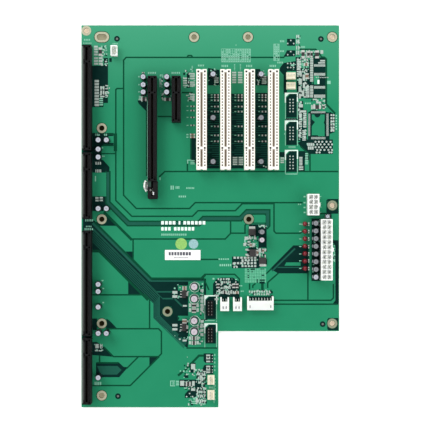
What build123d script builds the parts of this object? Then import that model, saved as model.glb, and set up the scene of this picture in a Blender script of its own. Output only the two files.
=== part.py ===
from build123d import *
import os

# Passive backplane for a rack computer: an L-shaped circuit board with a column of four
# edge slots for the host card, a graphics slot with a card latch, a short slot, four bus
# slots, power and fan headers, signal wafers, pin headers, capacitors and status lamps.
# All sizes are in millimetres. Seen from the component side, X runs to the right and Y to
# the top edge, and Z rises out of the board. The origin is below the middle of the
# board's outline, level with the tips of the solder pins. Places on the board are given
# from its left edge and from its top edge.

# Circuit board
board_thickness = 1.6
pin_reach = 1.4  # solder pins below the board
leg_width = 117.1  # narrow lower part, from the left edge
upper_length = 261.5  # full-width upper part, from the top edge
mounting_radius = 2.3
long_hole_length = 8.5
long_hole_width = 5.0

# Express card slots: host slots, graphics slot and short slot
lane_pitch = 1.0
long_contacts = 82
medium_contacts = 49
short_contacts = 32
express_end_allowance = 7.0  # housing beyond its contact positions
express_width = 7.5
express_height = 11.25
express_channel_depth = 8.4
express_end_wall = 1.9
express_key_from_end = 14.2
express_key_width = 1.7
express_groove_offset = 2.3  # contact window rows, from the channel's middle
express_groove_width = 1.0
express_groove_depth = 1.2

# Bus card slots
bus_pitch = 1.27
bus_positions = 62
bus_end_allowance = 6.1
bus_width = 8.8
bus_height = 11.4
bus_channel_depth = 8.0
bus_end_wall = 2.6
bus_key_position = 50  # the key stands after this many contact positions
bus_key_width = 2.3
end_notch_depth = 0.5
bus_groove_offset = 2.75  # contact rows, from the channel's middle
bus_groove_width = 1.45
bus_groove_depth = 3.0

# Card channel, the same in every slot
card_gap = 1.8
lead_in = 0.45
pit_size = 1.3  # core pits beside the ends and the key
pit_depth = 4.0

# Slot places
card_pitch = 20.32
express_to_bus = 21.5
host_from_left = 5.65
graphics_from_left = 61.0
express_from_top = 44.5
bus_from_top = 39.0
bus_slots = 4
host_top_margin = 18.3
host_gaps = (2.1, 10.0, 2.0)
host_bottom_margin = 4.2
power_side_width = 56.5  # board to the right of the last bus slot

# Card latch of the graphics slot
latch_length = 15.2
latch_right = 4.5  # from the slot's centre line to the frame's outer face
latch_height = 10.0
latch_wall = 1.2
latch_near_wall = 0.8
latch_far_wall = 2.8
chamber_floor = 3.0
chamber_height = 3.4
pivot_from_slot = 3.9
pivot_right = 1.6
post_radius = 0.9
running_clearance = 0.08
lever_clearance = 0.3
hub_radius = 1.5
lever_arm_width = 2.4
thumb_inner_radius = 7.0
thumb_outer_radius = 9.0
thumb_rim_width = 1.2
thumb_rim_height = 2.6
thumb_upper_angle = 32
thumb_lower_angle = 36
thumb_rim_angle = 14
hook_left = 1.4  # lever nose, from the pivot
hook_below = 6.6
hook_width = 1.3
hook_pocket_from_slot = 6.2
hook_pocket_floor = 1.5
shallow_channel_floor = 7.6

# Power headers
cell_pitch = 4.2
cell_size = 3.5
cell_chamfer = 0.9
cell_depth = 9.6
header_end_allowance = 5.4
header_width = 9.6
header_height = 12.8
power_pin = 1.07
power_pin_height = 10.2
catch_width = 3.4
catch_reach = 1.3
catch_height = 3.6
catch_below_rim = 1.5
main_columns = 12
cpu_columns = 4
main_from_right = 11.7
main_from_top = 191.5
cpu_from_right = 22.9
cpu_from_top = 153.4

# Side-entry wafers
wafer_pitch = 2.5
wafer_end_allowance = 4.9
wafer_block_depth = 7.7
wafer_ear_depth = 3.8
wafer_ear_width = 1.3
wafer_height = 6.1
wafer_wall = 0.9
wafer_back_wall = 1.1
wafer_floor = 0.9
wafer_slit_width = 0.6
wafer_slit_length = 2.2
wafer_slit_from_front = 3.0
small_pin = 0.64
wafer_pin_setback = 1.2  # pin tips behind the wafer's mouth
wafer_pin_drop_from_back = 1.5
signal_pins = 8
signal_wafer_from_leg_edge = 35.7
signal_wafer_front = 18.5  # wafer mouths, from the upper part's lower edge
switch_pins = 2
switch_wafers_from_leg_edge = (5.3, 16.2)
switch_wafer_front = 17.7

# Fan headers
fan_pitch = 2.54
fan_pins = 3
fan_end_allowance = 2.8
fan_depth = 5.9
fan_base_height = 3.3
fan_wall_thickness = 1.1
fan_wall_height = 9.2
fan_wall_inset = 0.9  # the lock wall is this much shorter at each end
fan_pin_height = 11.2
fan_pin_from_wall = 3.6
upper_fans_from_bus = 15.2  # from the last bus slot
upper_fans_from_top = (43.6, 51.9)
lower_fans_from_leg_edge = 6.3
lower_fans_from_bottom = (23.8, 11.0)

# Sensor wafer, shrouded, with its pins upright
sensor_pins = 3
sensor_length = 8.8
sensor_depth = 5.6
sensor_height = 7.0
sensor_wall = 0.8
sensor_floor = 2.4
sensor_key_width = 1.2
sensor_pin_height = 6.0
sensor_from_left = 28.3
sensor_from_top = 22.4

# Pin headers
post_pitch = 2.54
post_rows = 2
post_columns = 5
post_base_height = 2.54
post_height = 8.6
post_notch = 0.5
post_header_from_leg_edge = 7.0
post_headers_from_top = (241.7, 264.4)

# Status lamps
lamp_count = 7
lamp_pitch = 6.35
lamp_radius = 1.6
lamp_sides = 12
lamp_height = 4.4
lamp_shoulder = 0.8
lamp_from_right = 29.4
lamps_from_top = 188.8

# Capacitors
can_sides = 16
small_can_radius = 2.5
small_can_height = 11.0
large_can_radius = 3.15
large_can_height = 11.5
tiny_can_radius = 2.0
tiny_can_height = 7.0
power_cans = 8
power_can_pitch = 6.5
power_cans_left_of_header = 9.1
power_cans_below_header_middle = 0.4
host_cans_right_of_slot = 9.8
host_can_spacing = 6.9
host_cans_from_top = (98.7, 106.5, 113.2, 156.7, 220.8, 226.8, 240.0, 262.2, 299.7)
host_pairs_from_top = (98.7, 156.7, 262.2)
graphics_cans_left_of_slot = 7.6
short_cans_left_of_slot = 8.0
express_cans_below_slot_end = (0.8, 7.5, 13.7)
bus_cans_right_of_slot = 9.75
bus_cans_below_slot_end = (4.0, 40.8, 78.0)
regulator_cans_from_left = 153.9
regulator_cans_from_top = (176.5, 183.3)
large_cans_from_leg_edge = 20.5
large_cans_from_top = (222.9, 233.1, 251.6, 260.9)
tiny_can_above_header = 2.4
tiny_can_right_of_header = 1.2

# Voltage regulators with a cooling plate, and smaller chips with one
regulators = ((145.9, 176.7), (146.3, 194.6), (154.8, 201.2))
regulator_width = 6.0
regulator_length = 5.4
regulator_height = 2.3
regulator_tab_width = 5.2
regulator_tab_reach = 2.0
regulator_lead_width = 0.8
regulator_lead_spacing = 4.57
regulator_lead_reach = 2.4
small_chip_width = 3.5
small_chip_length = 6.5
small_chip_height = 1.6
small_tab_width = 3.0
small_tab_reach = 1.7
small_lead_width = 0.7
small_lead_spacing = 2.3
small_lead_reach = 1.7
plate_thickness = 0.3
plate_inset = 1.0  # plate end, from the body's lead side
package_bevel = 0.25
lead_thickness = 0.3
lead_rise = 0.7
small_chips_from_leg_edge = 29.3
small_chips_from_top = (229.9, 258.1)

# Derived sizes
board_top = pin_reach + board_thickness
long_slot = long_contacts * lane_pitch + express_end_allowance
medium_slot = medium_contacts * lane_pitch + express_end_allowance
short_slot = short_contacts * lane_pitch + express_end_allowance
bus_slot = bus_positions * bus_pitch + bus_end_allowance
host_lengths = (long_slot, medium_slot, long_slot, medium_slot)
board_length = host_top_margin + sum(host_lengths) + sum(host_gaps) + host_bottom_margin
short_from_left = graphics_from_left + card_pitch
bus_from_left = [short_from_left + express_to_bus + card_pitch * i for i in range(bus_slots)]
board_width = bus_from_left[-1] + power_side_width
main_from_left = board_width - main_from_right
cpu_from_left = board_width - cpu_from_right
main_length = cell_pitch * (main_columns - 1) + header_end_allowance
pin_foot = -(board_thickness + pin_reach)

# Mounting holes, each from the left edge and from the top edge
hole_column = 17.4
top_hole_row = 10.05
right_hole_inset = 5.8
corner_hole = (4.2, 4.6)
top_holes_from_left = (96.3, 142.4)
column_holes_from_top = (87.9, 165.8)
middle_row_hole_from_left = 143.1
left_lower_hole_from_top = 254.9
right_lower_hole_from_step = 6.6
right_hole_from_top = 154.0
leg_hole_from_bottom = 10.1
inner_hole = (73.6, 244.7)
right_hole_column = board_width - right_hole_inset
mounting_holes = (
    [corner_hole, inner_hole]
    + [(x, top_hole_row) for x in top_holes_from_left]
    + [(hole_column, y) for y in column_holes_from_top]
    + [(middle_row_hole_from_left, column_holes_from_top[-1])]
    + [(hole_column, left_lower_hole_from_top)]
    + [(hole_column, board_length - leg_hole_from_bottom)]
    + [(right_hole_column, top_hole_row), (right_hole_column, right_hole_from_top)]
    + [(right_hole_column, upper_length - right_lower_hole_from_step)]
)


def on_board(from_left, from_top):
    return (from_left - board_width / 2, board_length / 2 - from_top)


def seat(from_left, from_top, x_axis=(1, 0, 0)):
    """Plane on the board's upper face at a place, with its x axis along the given way."""
    x, y = on_board(from_left, from_top)
    return Plane(origin=(x, y, board_top), x_dir=x_axis, z_dir=(0, 0, 1))


TO_RIGHT = (1, 0, 0)
TO_LEFT = (-1, 0, 0)
TO_TOP = (0, 1, 0)
TO_BOTTOM = (0, -1, 0)


def save(piece, name):
    piece.label = name
    export_step(piece, f"parts/{name}.step")


def middle(run):
    return (run[0] + run[1]) / 2


def card_runs(length, end_wall, key, key_width):
    """The two stretches of a card channel, before and after its key."""
    return (
        (-length / 2 + end_wall, key - key_width / 2),
        (key + key_width / 2, length / 2 - end_wall),
    )


def channel_space(top, runs, depth):
    """The space of a card channel below a plane, with a bevelled lead-in along its mouth."""
    with BuildPart() as space:
        with BuildSketch(top):
            for run in runs:
                with Locations((middle(run), 0)):
                    Rectangle(run[1] - run[0], card_gap)
        extrude(amount=-depth)
        with BuildSketch(top):
            for run in runs:
                with Locations((middle(run), 0)):
                    Rectangle(run[1] - run[0] + 2 * lead_in, card_gap + 2 * lead_in)
        extrude(amount=-lead_in, taper=45)
    return space.part


def express_socket(place, contacts_length):
    """Black card socket along the place's x axis, its key nearer the -x end."""
    top = place.offset(express_height)
    key = -contacts_length / 2 + express_key_from_end
    runs = card_runs(contacts_length, express_end_wall, key, express_key_width)
    pit_rows = (runs[0][0] - pit_size / 4, key, runs[1][1] + pit_size / 4)
    grooves = [
        (run[0] + pit_size, run[1] - pit_size, side * express_groove_offset)
        for run in runs
        for side in (-1, 1)
    ]
    channel = channel_space(top, runs, express_channel_depth)
    with BuildPart() as socket:
        with BuildSketch(place):
            Rectangle(contacts_length, express_width)
        extrude(amount=express_height)
        add(channel, mode=Mode.SUBTRACT)
        with BuildSketch(top):
            for start, stop, offset_y in grooves:
                with Locations(((start + stop) / 2, offset_y)):
                    Rectangle(stop - start, express_groove_width)
        extrude(amount=-express_groove_depth, mode=Mode.SUBTRACT)
        with BuildSketch(top):
            for x in pit_rows:
                with Locations((x, -express_groove_offset), (x, express_groove_offset)):
                    Rectangle(pit_size, pit_size)
        extrude(amount=-pit_depth, mode=Mode.SUBTRACT)
    return socket.part


def bus_socket(place):
    """Ivory card socket along the place's x axis, its key nearer the +x end."""
    top = place.offset(bus_height)
    key = -bus_slot / 2 + bus_end_allowance / 2 + bus_key_position * bus_pitch
    runs = card_runs(bus_slot, bus_end_wall, key, bus_key_width)
    pit_rows = (-bus_slot / 2 + bus_end_wall - pit_size / 2, key)
    grooves = [
        (run[0] + pit_size, run[1] - pit_size, side * bus_groove_offset)
        for run in runs
        for side in (-1, 1)
    ]
    channel = channel_space(top, runs, bus_channel_depth)
    with BuildPart() as socket:
        with BuildSketch(place):
            Rectangle(bus_slot, bus_width)
            with Locations((-bus_slot / 2, 0), (bus_slot / 2, 0)):
                Rectangle(2 * end_notch_depth, card_gap, mode=Mode.SUBTRACT)
        extrude(amount=bus_height)
        add(channel, mode=Mode.SUBTRACT)
        with BuildSketch(top):
            for start, stop, offset_y in grooves:
                with Locations(((start + stop) / 2, offset_y)):
                    Rectangle(stop - start, bus_groove_width)
        extrude(amount=-bus_groove_depth, mode=Mode.SUBTRACT)
        with BuildSketch(top):
            for x in pit_rows:
                with Locations((x, -bus_groove_offset), (x, bus_groove_offset)):
                    Rectangle(pit_size, pit_size)
        extrude(amount=-pit_depth, mode=Mode.SUBTRACT)
    return socket.part


def power_header(place, columns):
    """White shell with two rows of keyed cells and a catch on its +y side."""
    length = cell_pitch * (columns - 1) + header_end_allowance
    top = place.offset(header_height)
    places = [
        ((column - (columns - 1) / 2) * cell_pitch, row * cell_pitch / 2, (column + (row > 0)) % 2)
        for column in range(columns)
        for row in (-1, 1)
    ]
    square = [(x, y) for x, y, keyed in places if not keyed]
    keyed_low = [(x, y) for x, y, keyed in places if keyed and y < 0]
    keyed_high = [(x, y) for x, y, keyed in places if keyed and y > 0]
    half = cell_size / 2
    outer = half - cell_chamfer
    with BuildPart() as shell:
        with BuildSketch(place):
            Rectangle(length, header_width)
        extrude(amount=header_height)
        with BuildSketch(top):
            with Locations(*square):
                Rectangle(cell_size, cell_size)
            for side, cells in ((-1, keyed_low), (1, keyed_high)):
                with Locations(*cells):
                    Polygon(
                        (-half, -side * half),
                        (half, -side * half),
                        (half, side * outer),
                        (outer, side * half),
                        (-outer, side * half),
                        (-half, side * outer),
                        align=None,
                    )
        extrude(amount=-cell_depth, mode=Mode.SUBTRACT)
        rim = header_height - catch_below_rim
        side_view = Plane(origin=place.origin, x_dir=place.y_dir, z_dir=place.x_dir)
        with BuildSketch(side_view):
            with BuildLine():
                Polyline(
                    (header_width / 2, rim - catch_height),
                    (header_width / 2 + catch_reach, rim - catch_height),
                    (header_width / 2 + catch_reach, rim - catch_height * 0.7),
                    (header_width / 2, rim),
                    close=True,
                )
            make_face()
        extrude(amount=catch_width / 2, both=True)
    return shell.part


def upright_pins(place, columns, rows, pitch, thickness, height, offset_y=0):
    """Square pins in a grid, from below the board up to a height above it."""
    with BuildPart() as pins:
        with BuildSketch(place.offset(pin_foot)):
            with Locations((0, offset_y)):
                with GridLocations(pitch, pitch, columns, rows):
                    Rectangle(thickness, thickness)
        extrude(amount=height - pin_foot)
    return pins.part


def side_wafer(place, pins):
    """Side-entry shell with its mouth at the place's -y side and two ears behind."""
    width = wafer_pitch * (pins - 1) + wafer_end_allowance
    depth = wafer_block_depth + wafer_ear_depth
    mouth = Plane(origin=place.origin, x_dir=place.x_dir, z_dir=-place.y_dir)
    cavity_height = wafer_height - wafer_floor - wafer_wall
    with BuildPart() as shell:
        with BuildSketch(place):
            with Locations((0, depth / 2)):
                Rectangle(width, depth)
            with Locations((0, depth)):
                Rectangle(width - 2 * wafer_ear_width, 2 * wafer_ear_depth, mode=Mode.SUBTRACT)
        extrude(amount=wafer_height)
        with BuildSketch(mouth):
            with Locations((0, wafer_floor + cavity_height / 2)):
                Rectangle(width - 2 * wafer_wall, cavity_height)
        extrude(amount=-(wafer_block_depth - wafer_back_wall), mode=Mode.SUBTRACT)
        slit = width / 2 - 2 * wafer_wall - wafer_slit_width
        with BuildSketch(place.offset(wafer_height)):
            with Locations((-slit, wafer_slit_from_front), (slit, wafer_slit_from_front)):
                Rectangle(wafer_slit_width, wafer_slit_length)
        extrude(amount=-wafer_wall, mode=Mode.SUBTRACT)
    return shell.part


def side_pins(place, pins):
    """Bent pins of a side-entry wafer: level in the shell, then down through the board."""
    level = wafer_floor + (wafer_height - wafer_floor - wafer_wall) / 2
    back = wafer_block_depth + wafer_ear_depth - wafer_pin_drop_from_back
    side_view = Plane(origin=place.origin, x_dir=place.y_dir, z_dir=place.x_dir)
    with BuildPart() as bent:
        for i in range(pins):
            across = (i - (pins - 1) / 2) * wafer_pitch - small_pin / 2
            with BuildSketch(side_view.offset(across)):
                with BuildLine():
                    Polyline(
                        (wafer_pin_setback, level + small_pin / 2),
                        (back, level + small_pin / 2),
                        (back, pin_foot),
                        (back - small_pin, pin_foot),
                        (back - small_pin, level - small_pin / 2),
                        (wafer_pin_setback, level - small_pin / 2),
                        close=True,
                    )
                make_face()
            extrude(amount=small_pin)
    return bent.part


def fan_header(place):
    """Low base with an upright lock wall along its +y side."""
    length = fan_pitch * (fan_pins - 1) + fan_end_allowance
    wall_length = length - 2 * fan_wall_inset
    with BuildPart() as header:
        with BuildSketch(place):
            Rectangle(length, fan_depth)
        extrude(amount=fan_base_height)
        with BuildSketch(place.offset(fan_base_height)):
            with Locations((0, (fan_depth - fan_wall_thickness) / 2)):
                Rectangle(wall_length, fan_wall_thickness)
        extrude(amount=fan_wall_height - fan_base_height)
    return header.part


def fan_pin_row(place):
    """The three upright pins of a fan header."""
    row = fan_depth / 2 - fan_pin_from_wall
    return upright_pins(place, fan_pins, 1, fan_pitch, small_pin, fan_pin_height, row)


def sensor_shell(place):
    """Shroud open at the top, with a key slot in each end of its +y wall."""
    with BuildPart() as shell:
        with BuildSketch(place):
            Rectangle(sensor_length, sensor_depth)
        extrude(amount=sensor_height)
        with BuildSketch(place.offset(sensor_height)):
            Rectangle(sensor_length - 2 * sensor_wall, sensor_depth - 2 * sensor_wall)
            key_x = fan_pitch / 2 + sensor_key_width / 2
            with Locations((-key_x, sensor_depth / 2), (key_x, sensor_depth / 2)):
                Rectangle(sensor_key_width, 3 * sensor_wall)
        extrude(amount=-(sensor_height - sensor_floor), mode=Mode.SUBTRACT)
    return shell.part


def post_base(place):
    """Black base of a pin header, notched between its positions on both long sides."""
    length = post_pitch * post_columns
    width = post_pitch * post_rows
    with BuildPart() as base:
        with BuildSketch(place):
            Rectangle(length, width)
            with GridLocations(post_pitch, width, post_columns - 1, 2):
                Rectangle(post_notch, post_notch, rotation=45, mode=Mode.SUBTRACT)
        extrude(amount=post_base_height)
    return base.part


def lamp(place):
    """Lamp lens, near round, with a sloping shoulder at its top."""
    with BuildPart() as lens:
        with BuildSketch(place):
            RegularPolygon(lamp_radius, lamp_sides)
        extrude(amount=lamp_height)
        chamfer(lens.faces().sort_by(Axis.Z)[-1].edges(), length=lamp_shoulder)
    return lens.part


def package_bodies(places, length, width, height, seat_height):
    """Moulded blocks, each seated on its metal plate, with a bevel around the top."""
    with BuildPart() as bodies:
        for place in places:
            with BuildSketch(place.offset(seat_height)):
                Rectangle(length, width)
            extrude(amount=height - seat_height)
        chamfer(bodies.faces().sort_by(Axis.Z)[-len(places):].edges(), length=package_bevel)
    return bodies.part


def package_metal(places, length, plate_width, plate_reach, thickness, lead_offsets, lead_width, lead_reach):
    """Plates that run out on the +x side, and bent leads that meet the body's -x side."""
    plate_length = length - plate_inset + plate_reach
    shoulder = length / 2 + lead_reach / 3
    knee = length / 2 + lead_reach * 0.55
    tip = length / 2 + lead_reach
    with BuildPart() as metal:
        for place in places:
            with BuildSketch(place):
                with Locations((plate_inset - length / 2 + plate_length / 2, 0)):
                    Rectangle(plate_length, plate_width)
            extrude(amount=thickness)
            side_view = Plane(origin=place.origin, x_dir=-place.x_dir, z_dir=place.y_dir)
            for offset in lead_offsets:
                with BuildSketch(side_view.offset(offset - lead_width / 2)):
                    with BuildLine():
                        Polyline(
                            (length / 2, lead_rise),
                            (shoulder - lead_thickness / 2, lead_rise),
                            (knee - lead_thickness / 2, 0),
                            (tip, 0),
                            (tip, lead_thickness),
                            (knee + lead_thickness / 2, lead_thickness),
                            (shoulder + lead_thickness / 2, lead_rise + lead_thickness),
                            (length / 2, lead_rise + lead_thickness),
                            close=True,
                        )
                    make_face()
                extrude(amount=lead_width)
    return metal.part


os.makedirs("parts", exist_ok=True)

# Circuit board
half_width = board_width / 2
half_length = board_length / 2
leg_right = leg_width - half_width
step_line = half_length - upper_length
with BuildPart() as circuit_board:
    with BuildSketch(Plane.XY.offset(pin_reach)):
        with BuildLine():
            Polyline(
                (-half_width, half_length),
                (half_width, half_length),
                (half_width, step_line),
                (leg_right, step_line),
                (leg_right, -half_length),
                (-half_width, -half_length),
                close=True,
            )
        make_face()
        with Locations(*[on_board(x, y) for x, y in mounting_holes]):
            Circle(mounting_radius, mode=Mode.SUBTRACT)
        with Locations(on_board(hole_column, top_hole_row)):
            SlotOverall(long_hole_length, long_hole_width, mode=Mode.SUBTRACT)
    extrude(amount=board_thickness)
save(circuit_board.part, "circuit_board")

# Host card slots in one column, top to bottom
slot_start = host_top_margin
for letter, slot_length, gap in zip("abcd", host_lengths, host_gaps + (0,)):
    host_seat = seat(host_from_left, slot_start + slot_length / 2, TO_BOTTOM)
    save(express_socket(host_seat, slot_length), f"host_slot_{letter}")
    slot_start = slot_start + slot_length + gap

# Graphics slot and short slot
graphics_seat = seat(graphics_from_left, express_from_top + long_slot / 2, TO_BOTTOM)
save(express_socket(graphics_seat, long_slot), "graphics_slot")
short_seat = seat(short_from_left, express_from_top + short_slot / 2, TO_BOTTOM)
save(express_socket(short_seat, short_slot), "short_slot")

# Bus slots
for i, from_left in enumerate(bus_from_left):
    bus_seat = seat(from_left, bus_from_top + bus_slot / 2, TO_BOTTOM)
    save(bus_socket(bus_seat), f"bus_slot_{i + 1}")

# Latch frame at the graphics slot's lower end. Its place has x along the slot, away from
# it, and y to the right. The lever swings in a chamber that is open to the left.
latch_place = seat(graphics_from_left, express_from_top + long_slot, TO_BOTTOM)
latch_left = express_width / 2
chamber_end = latch_length - latch_far_wall
with BuildPart() as latch_frame:
    with BuildSketch(latch_place):
        with Locations((latch_length / 2, (latch_right - latch_left) / 2)):
            Rectangle(latch_length, latch_right + latch_left)
    extrude(amount=latch_height)
    fillet(latch_frame.edges().filter_by(Axis.Z).group_by(Axis.Y)[0], radius=latch_wall)
    with BuildSketch(latch_place.offset(chamber_floor)):
        with Locations(((latch_near_wall + chamber_end) / 2, (latch_right - latch_wall - latch_left) / 2)):
            Rectangle(chamber_end - latch_near_wall, latch_right - latch_wall + latch_left)
    extrude(amount=chamber_height, mode=Mode.SUBTRACT)
    with BuildSketch(latch_place.offset(chamber_floor)):
        with Locations((pivot_from_slot, pivot_right)):
            Circle(post_radius)
    extrude(amount=chamber_height)
    with BuildSketch(latch_place.offset(latch_height)):
        with Locations((chamber_end / 2, 0)):
            Rectangle(chamber_end, card_gap)
    extrude(amount=shallow_channel_floor - latch_height, mode=Mode.SUBTRACT)
    with BuildSketch(latch_place.offset(latch_height)):
        with Locations(((hook_pocket_from_slot + chamber_end) / 2, 0)):
            Rectangle(chamber_end - hook_pocket_from_slot, card_gap)
    extrude(amount=hook_pocket_floor - latch_height, mode=Mode.SUBTRACT)
save(latch_frame.part, "latch_frame")

# Latch lever. Its plane lies over the frame's post, with x to the left and y downwards.
pivot_place = seat(
    graphics_from_left + pivot_right, express_from_top + long_slot + pivot_from_slot, TO_LEFT
)
lever_plane = Plane(origin=pivot_place.origin, x_dir=TO_LEFT, z_dir=(0, 0, 1))
lever_bottom = chamber_floor + lever_clearance
lever_thickness = chamber_height - 2 * lever_clearance
thumb_span = thumb_upper_angle + thumb_lower_angle
rim_inner_radius = thumb_outer_radius - thumb_rim_width
with BuildPart() as latch_lever:
    with BuildSketch(lever_plane.offset(lever_bottom)):
        Circle(hub_radius)
        with Locations((thumb_inner_radius / 2 + thumb_rim_width / 4, 0)):
            Rectangle(thumb_inner_radius + thumb_rim_width / 2, lever_arm_width)
        with BuildLine():
            Polyline(
                (hook_left - hook_width / 2, hook_below),
                (hook_left + hook_width / 2, hook_below),
                (hub_radius, hub_radius),
                (hub_radius, 0),
                (-hub_radius, 0),
                close=True,
            )
        make_face()
        with BuildLine():
            outer = CenterArc((0, 0), thumb_outer_radius, -thumb_upper_angle, thumb_span)
            inner = CenterArc((0, 0), thumb_inner_radius, -thumb_upper_angle, thumb_span)
            Line(outer @ 0, inner @ 0)
            Line(outer @ 1, inner @ 1)
        make_face()
        Circle(post_radius + running_clearance, mode=Mode.SUBTRACT)
    extrude(amount=lever_thickness)
    with BuildSketch(lever_plane.offset(lever_bottom + lever_thickness)):
        with BuildLine():
            rim_span = thumb_upper_angle + thumb_rim_angle
            rim_outer = CenterArc((0, 0), thumb_outer_radius, -thumb_upper_angle, rim_span)
            rim_inner = CenterArc((0, 0), rim_inner_radius, -thumb_upper_angle, rim_span)
            Line(rim_outer @ 0, rim_inner @ 0)
            Line(rim_outer @ 1, rim_inner @ 1)
        make_face()
    extrude(amount=thumb_rim_height)
save(latch_lever.part, "latch_lever")

# Power headers
main_place = seat(main_from_left, main_from_top, TO_BOTTOM)
cpu_place = seat(cpu_from_left, cpu_from_top, TO_BOTTOM)
for name, place, columns in (("main", main_place, main_columns), ("cpu", cpu_place, cpu_columns)):
    save(power_header(place, columns), f"{name}_power_header")
    pins = upright_pins(place, columns, 2, cell_pitch, power_pin, power_pin_height)
    save(pins, f"{name}_power_pins")

# Side-entry wafers, their mouths towards the lower edge
signal_place = seat(leg_width + signal_wafer_from_leg_edge, upper_length - signal_wafer_front)
save(side_wafer(signal_place, signal_pins), "signal_wafer")
save(side_pins(signal_place, signal_pins), "signal_wafer_pins")
for i, from_leg_edge in enumerate(switch_wafers_from_leg_edge):
    wafer_place = seat(leg_width + from_leg_edge, upper_length - switch_wafer_front)
    save(side_wafer(wafer_place, switch_pins), f"switch_wafer_{i + 1}")
    save(side_pins(wafer_place, switch_pins), f"switch_wafer_pins_{i + 1}")

# Fan headers: two beside the last bus slot and two at the leg's lower right
fan_places = [
    seat(bus_from_left[-1] + upper_fans_from_bus, from_top, TO_LEFT)
    for from_top in upper_fans_from_top
] + [
    seat(leg_width - lower_fans_from_leg_edge, board_length - from_bottom, TO_BOTTOM)
    for from_bottom in lower_fans_from_bottom
]
for i, fan_place in enumerate(fan_places):
    save(fan_header(fan_place), f"fan_header_{i + 1}")
    save(fan_pin_row(fan_place), f"fan_header_pins_{i + 1}")

# Sensor wafer
sensor_place = seat(sensor_from_left, sensor_from_top, TO_BOTTOM)
save(sensor_shell(sensor_place), "sensor_wafer")
sensor_pin_row = upright_pins(sensor_place, sensor_pins, 1, fan_pitch, small_pin, sensor_pin_height)
save(sensor_pin_row, "sensor_wafer_pins")

# Pin headers
for i, from_top in enumerate(post_headers_from_top):
    post_place = seat(leg_width - post_header_from_leg_edge, from_top, TO_BOTTOM)
    save(post_base(post_place), f"pin_header_{i + 1}")
    posts = upright_pins(post_place, post_columns, post_rows, post_pitch, small_pin, post_height)
    save(posts, f"pin_header_posts_{i + 1}")

# Status lamps in one column
for i in range(lamp_count):
    lamp_from_top = lamps_from_top + (i - (lamp_count - 1) / 2) * lamp_pitch
    save(lamp(seat(board_width - lamp_from_right, lamp_from_top)), f"status_lamp_{i + 1}")

# Capacitors
host_can_line = host_from_left + host_cans_right_of_slot
power_can_line = main_from_left - power_cans_left_of_header
power_can_middle = main_from_top + power_cans_below_header_middle
small_can_places = (
    [(host_can_line, y) for y in host_cans_from_top]
    + [(host_can_line + host_can_spacing, y) for y in host_pairs_from_top]
    + [
        (power_can_line, power_can_middle + (i - (power_cans - 1) / 2) * power_can_pitch)
        for i in range(power_cans)
    ]
    + [
        (slot_x - beside, express_from_top + below)
        for slot_x, beside in (
            (graphics_from_left, graphics_cans_left_of_slot),
            (short_from_left, short_cans_left_of_slot),
        )
        for below in express_cans_below_slot_end
    ]
    + [
        (slot_x + bus_cans_right_of_slot, bus_from_top + below)
        for slot_x in bus_from_left[::2]
        for below in bus_cans_below_slot_end
    ]
    + [(regulator_cans_from_left, y) for y in regulator_cans_from_top]
)
large_can_places = [(leg_width - large_cans_from_leg_edge, y) for y in large_cans_from_top]
tiny_can_places = [
    (main_from_left + tiny_can_right_of_header, main_from_top - main_length / 2 - tiny_can_above_header)
]
with BuildPart() as capacitors:
    for radius, height, places in (
        (small_can_radius, small_can_height, small_can_places),
        (large_can_radius, large_can_height, large_can_places),
        (tiny_can_radius, tiny_can_height, tiny_can_places),
    ):
        with BuildSketch(Plane.XY.offset(board_top)):
            with Locations(*[on_board(x, y) for x, y in places]):
                RegularPolygon(radius, can_sides)
        extrude(amount=height)
save(capacitors.part, "capacitors")

# Voltage regulators, and smaller chips of the same build with three leads
regulator_places = [
    seat(from_left, from_top, facing)
    for (from_left, from_top), facing in zip(regulators, (TO_TOP, TO_RIGHT, TO_BOTTOM))
]
chip_line = leg_width - small_chips_from_leg_edge
chip_places = [seat(chip_line, from_top, TO_RIGHT) for from_top in small_chips_from_top]
for name, places, length, width, height, plate_width, plate_reach, leads, lead_width, lead_reach in (
    (
        "regulator",
        regulator_places,
        regulator_length,
        regulator_width,
        regulator_height,
        regulator_tab_width,
        regulator_tab_reach,
        (-regulator_lead_spacing / 2, regulator_lead_spacing / 2),
        regulator_lead_width,
        regulator_lead_reach,
    ),
    (
        "chip",
        chip_places,
        small_chip_width,
        small_chip_length,
        small_chip_height,
        small_tab_width,
        small_tab_reach,
        (-small_lead_spacing, 0, small_lead_spacing),
        small_lead_width,
        small_lead_reach,
    ),
):
    save(package_bodies(places, length, width, height, plate_thickness), f"{name}_bodies")
    metal = package_metal(
        places, length, plate_width, plate_reach, plate_thickness, leads, lead_width, lead_reach
    )
    save(metal, f"{name}_metal")
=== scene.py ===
import math
import random

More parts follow.
